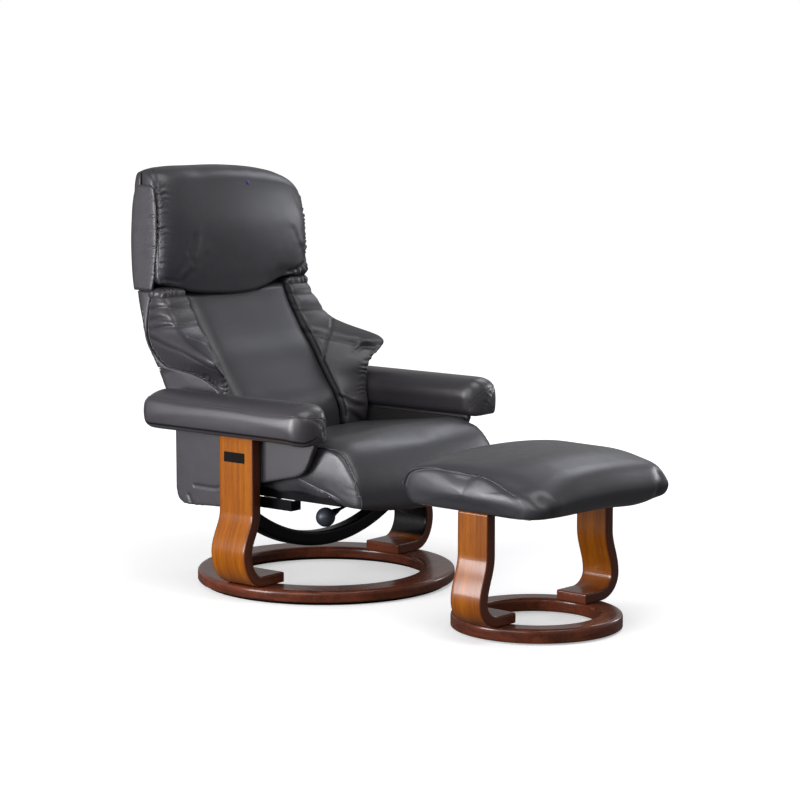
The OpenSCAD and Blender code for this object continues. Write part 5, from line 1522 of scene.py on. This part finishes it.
class ChairStool(bpy.types.Operator):
    """Makes the footstool's cushion with its side panels and piping"""

    bl_idname = "chair.stool"
    bl_label = "Footstool cushion"

    def execute(self, context):
        piping, rise, gather = in_millimetres(context)
        cushion = build("stool_leather_cushion", *skin(at_stool(capped(stool_shape(), 7, 12))))
        plump(cushion, rise, 60)
        cover = Cover(cushion)
        lines = [at_stool(curve(on_side(STOOL_SEAM, sign), 60)) for sign in (-1, 1)]
        for sign, line in zip((-1, 1), lines):
            cover.seam(line, 6, 1.4, 0.5)
            cover.gathers(line[36:], 12, 14, gather * 0.4, sign)
            cover.seam(at_stool(on_side(STOOL_PINCH, sign)), 16, 5.5, 0.7)
            cover.fold(at_stool(on_side(STOOL_FOLD, sign)), 12, 1.0)
            cover.swell(at_stool(np.array([sign * 257.0, -30, 358])), (16, 110, 24), 4.0)
        cover.finish()
        dressed(cushion, "seat_leather", "dark_leather", "footstool", "stool_cushion")
        for name, line in zip(("stool_piping_right", "stool_piping_left"), lines):
            piped(name, cushion, line, piping, 0.2, "footstool")
        return {"FINISHED"}


def aimed(name, data, at, aim):
    """Lamp or camera at a place, turned towards its aim."""
    thing = bpy.data.objects.new(name, data)
    bpy.context.scene.collection.objects.link(thing)
    thing.location = at
    thing.rotation_euler = (Vector(aim) - Vector(at)).to_track_quat("-Z", "Y").to_euler()
    return thing


def lamp(name, at, aim, size, power, tint):
    """Area lamp at a place, turned towards its aim."""
    data = bpy.data.lights.new(name, "AREA")
    data.shape = "RECTANGLE"
    data.size, data.size_y = size
    data.energy = power
    data.color = tint
    aimed(name, data, at, aim)


def seen_by(tree):
    """Light path node, and its value for rays from the camera, straight or through glass."""
    path = tree.nodes.new("ShaderNodeLightPath")
    return path, maths(tree, "MAXIMUM", path.outputs["Is Camera Ray"], path.outputs["Is Transmission Ray"])


class ChairStage(bpy.types.Operator):
    """Makes the pale floor, the soft lamps and the camera"""

    bl_idname = "chair.stage"
    bl_label = "Stage"

    def execute(self, context):
        scene = context.scene
        half = FLOOR_HALF
        floor = build("studio_floor", [(x, y, FLOOR_DROP) for x, y in ((-half, -half), (half, -half), (half, half),
                                                                      (-half, half))], [[0, 1, 2, 3]])
        material, tree, shader = new_material("pale_floor")
        _, seen = seen_by(tree)
        far = node_with(tree, "VectorMath", {0: place_of(tree), 1: FLOOR_MIDDLE}, operation="DISTANCE")
        glow = ranged(tree, far.outputs["Value"], *FLOOR_FADE, *FLOOR_GLOW)
        feed(tree, shader, {
            "Base Color": blended(tree, seen, FLOOR_UNSEEN, FLOOR_SEEN), "Roughness": 0.9, "Specular IOR Level": 0.0,
            "Emission Color": (1, 1, 1), "Emission Strength": maths(tree, "MULTIPLY", seen, glow)})
        floor.data.materials.append(material)
        world = bpy.data.worlds.new("studio")
        scene.world = world
        world.use_nodes = True
        tree = world.node_tree
        path, seen = seen_by(tree)
        glossy = maths(tree, "MULTIPLY", path.outputs["Is Glossy Ray"], WORLD_GLOSSY)
        level = maths(tree, "MAXIMUM", maths(tree, "MAXIMUM", seen, glossy), WORLD_LEVEL)
        feed(tree, tree.nodes["Background"], {"Color": (1, 1, 1), "Strength": level})
        for values in LAMPS:
            lamp(*values)
        data = bpy.data.cameras.new("camera")
        data.lens = CAMERA_LENS
        data.sensor_width = CAMERA_SENSOR
        data.clip_end = 100
        scene.camera = aimed("camera", data, CAMERA_AT, CAMERA_AIM)
        scene.view_settings.view_transform = "Standard"
        return {"FINISHED"}


class ChairPanel(bpy.types.Panel):
    """Lists the chair's operators and settings"""

    bl_idname = "VIEW3D_PT_chair"
    bl_label = "Reflexology chair"
    bl_space_type = "VIEW_3D"
    bl_region_type = "UI"
    bl_category = "Chair"

    def draw(self, context):
        for settings in (context.scene.chair_sizes, context.scene.chair_colours):
            for title in settings.bl_rna.properties.keys():
                if title not in {"rna_type", "name"}:
                    self.layout.prop(settings, title)
        for operator in OPERATORS:
            self.layout.operator(operator.bl_idname)


OPERATORS = (ChairFinishes, ChairHardware, ChairWood, ChairArms, ChairSeat, ChairBack, ChairHeadrest, ChairStool,
             ChairStage)
CLASSES = (ChairSizes, ChairColours, *OPERATORS, ChairPanel)


def register():
    """Registers the classes and hangs the settings on the scene."""
    for each in CLASSES:
        bpy.utils.register_class(each)
    bpy.types.Scene.chair_sizes = bpy.props.PointerProperty(type=ChairSizes)
    bpy.types.Scene.chair_colours = bpy.props.PointerProperty(type=ChairColours)


def unregister():
    """Takes the settings and the classes away."""
    del bpy.types.Scene.chair_sizes
    del bpy.types.Scene.chair_colours
    for each in reversed(CLASSES):
        bpy.utils.unregister_class(each)


def main():
    """Builds the whole chair."""
    register()
    bpy.ops.chair.finishes()
    bpy.ops.chair.hardware()
    bpy.ops.chair.wood()
    bpy.ops.chair.arms()
    bpy.ops.chair.seat()
    bpy.ops.chair.back()
    bpy.ops.chair.headrest()
    bpy.ops.chair.stool()
    bpy.ops.chair.stage()


if __name__ == "__main__":
    main()
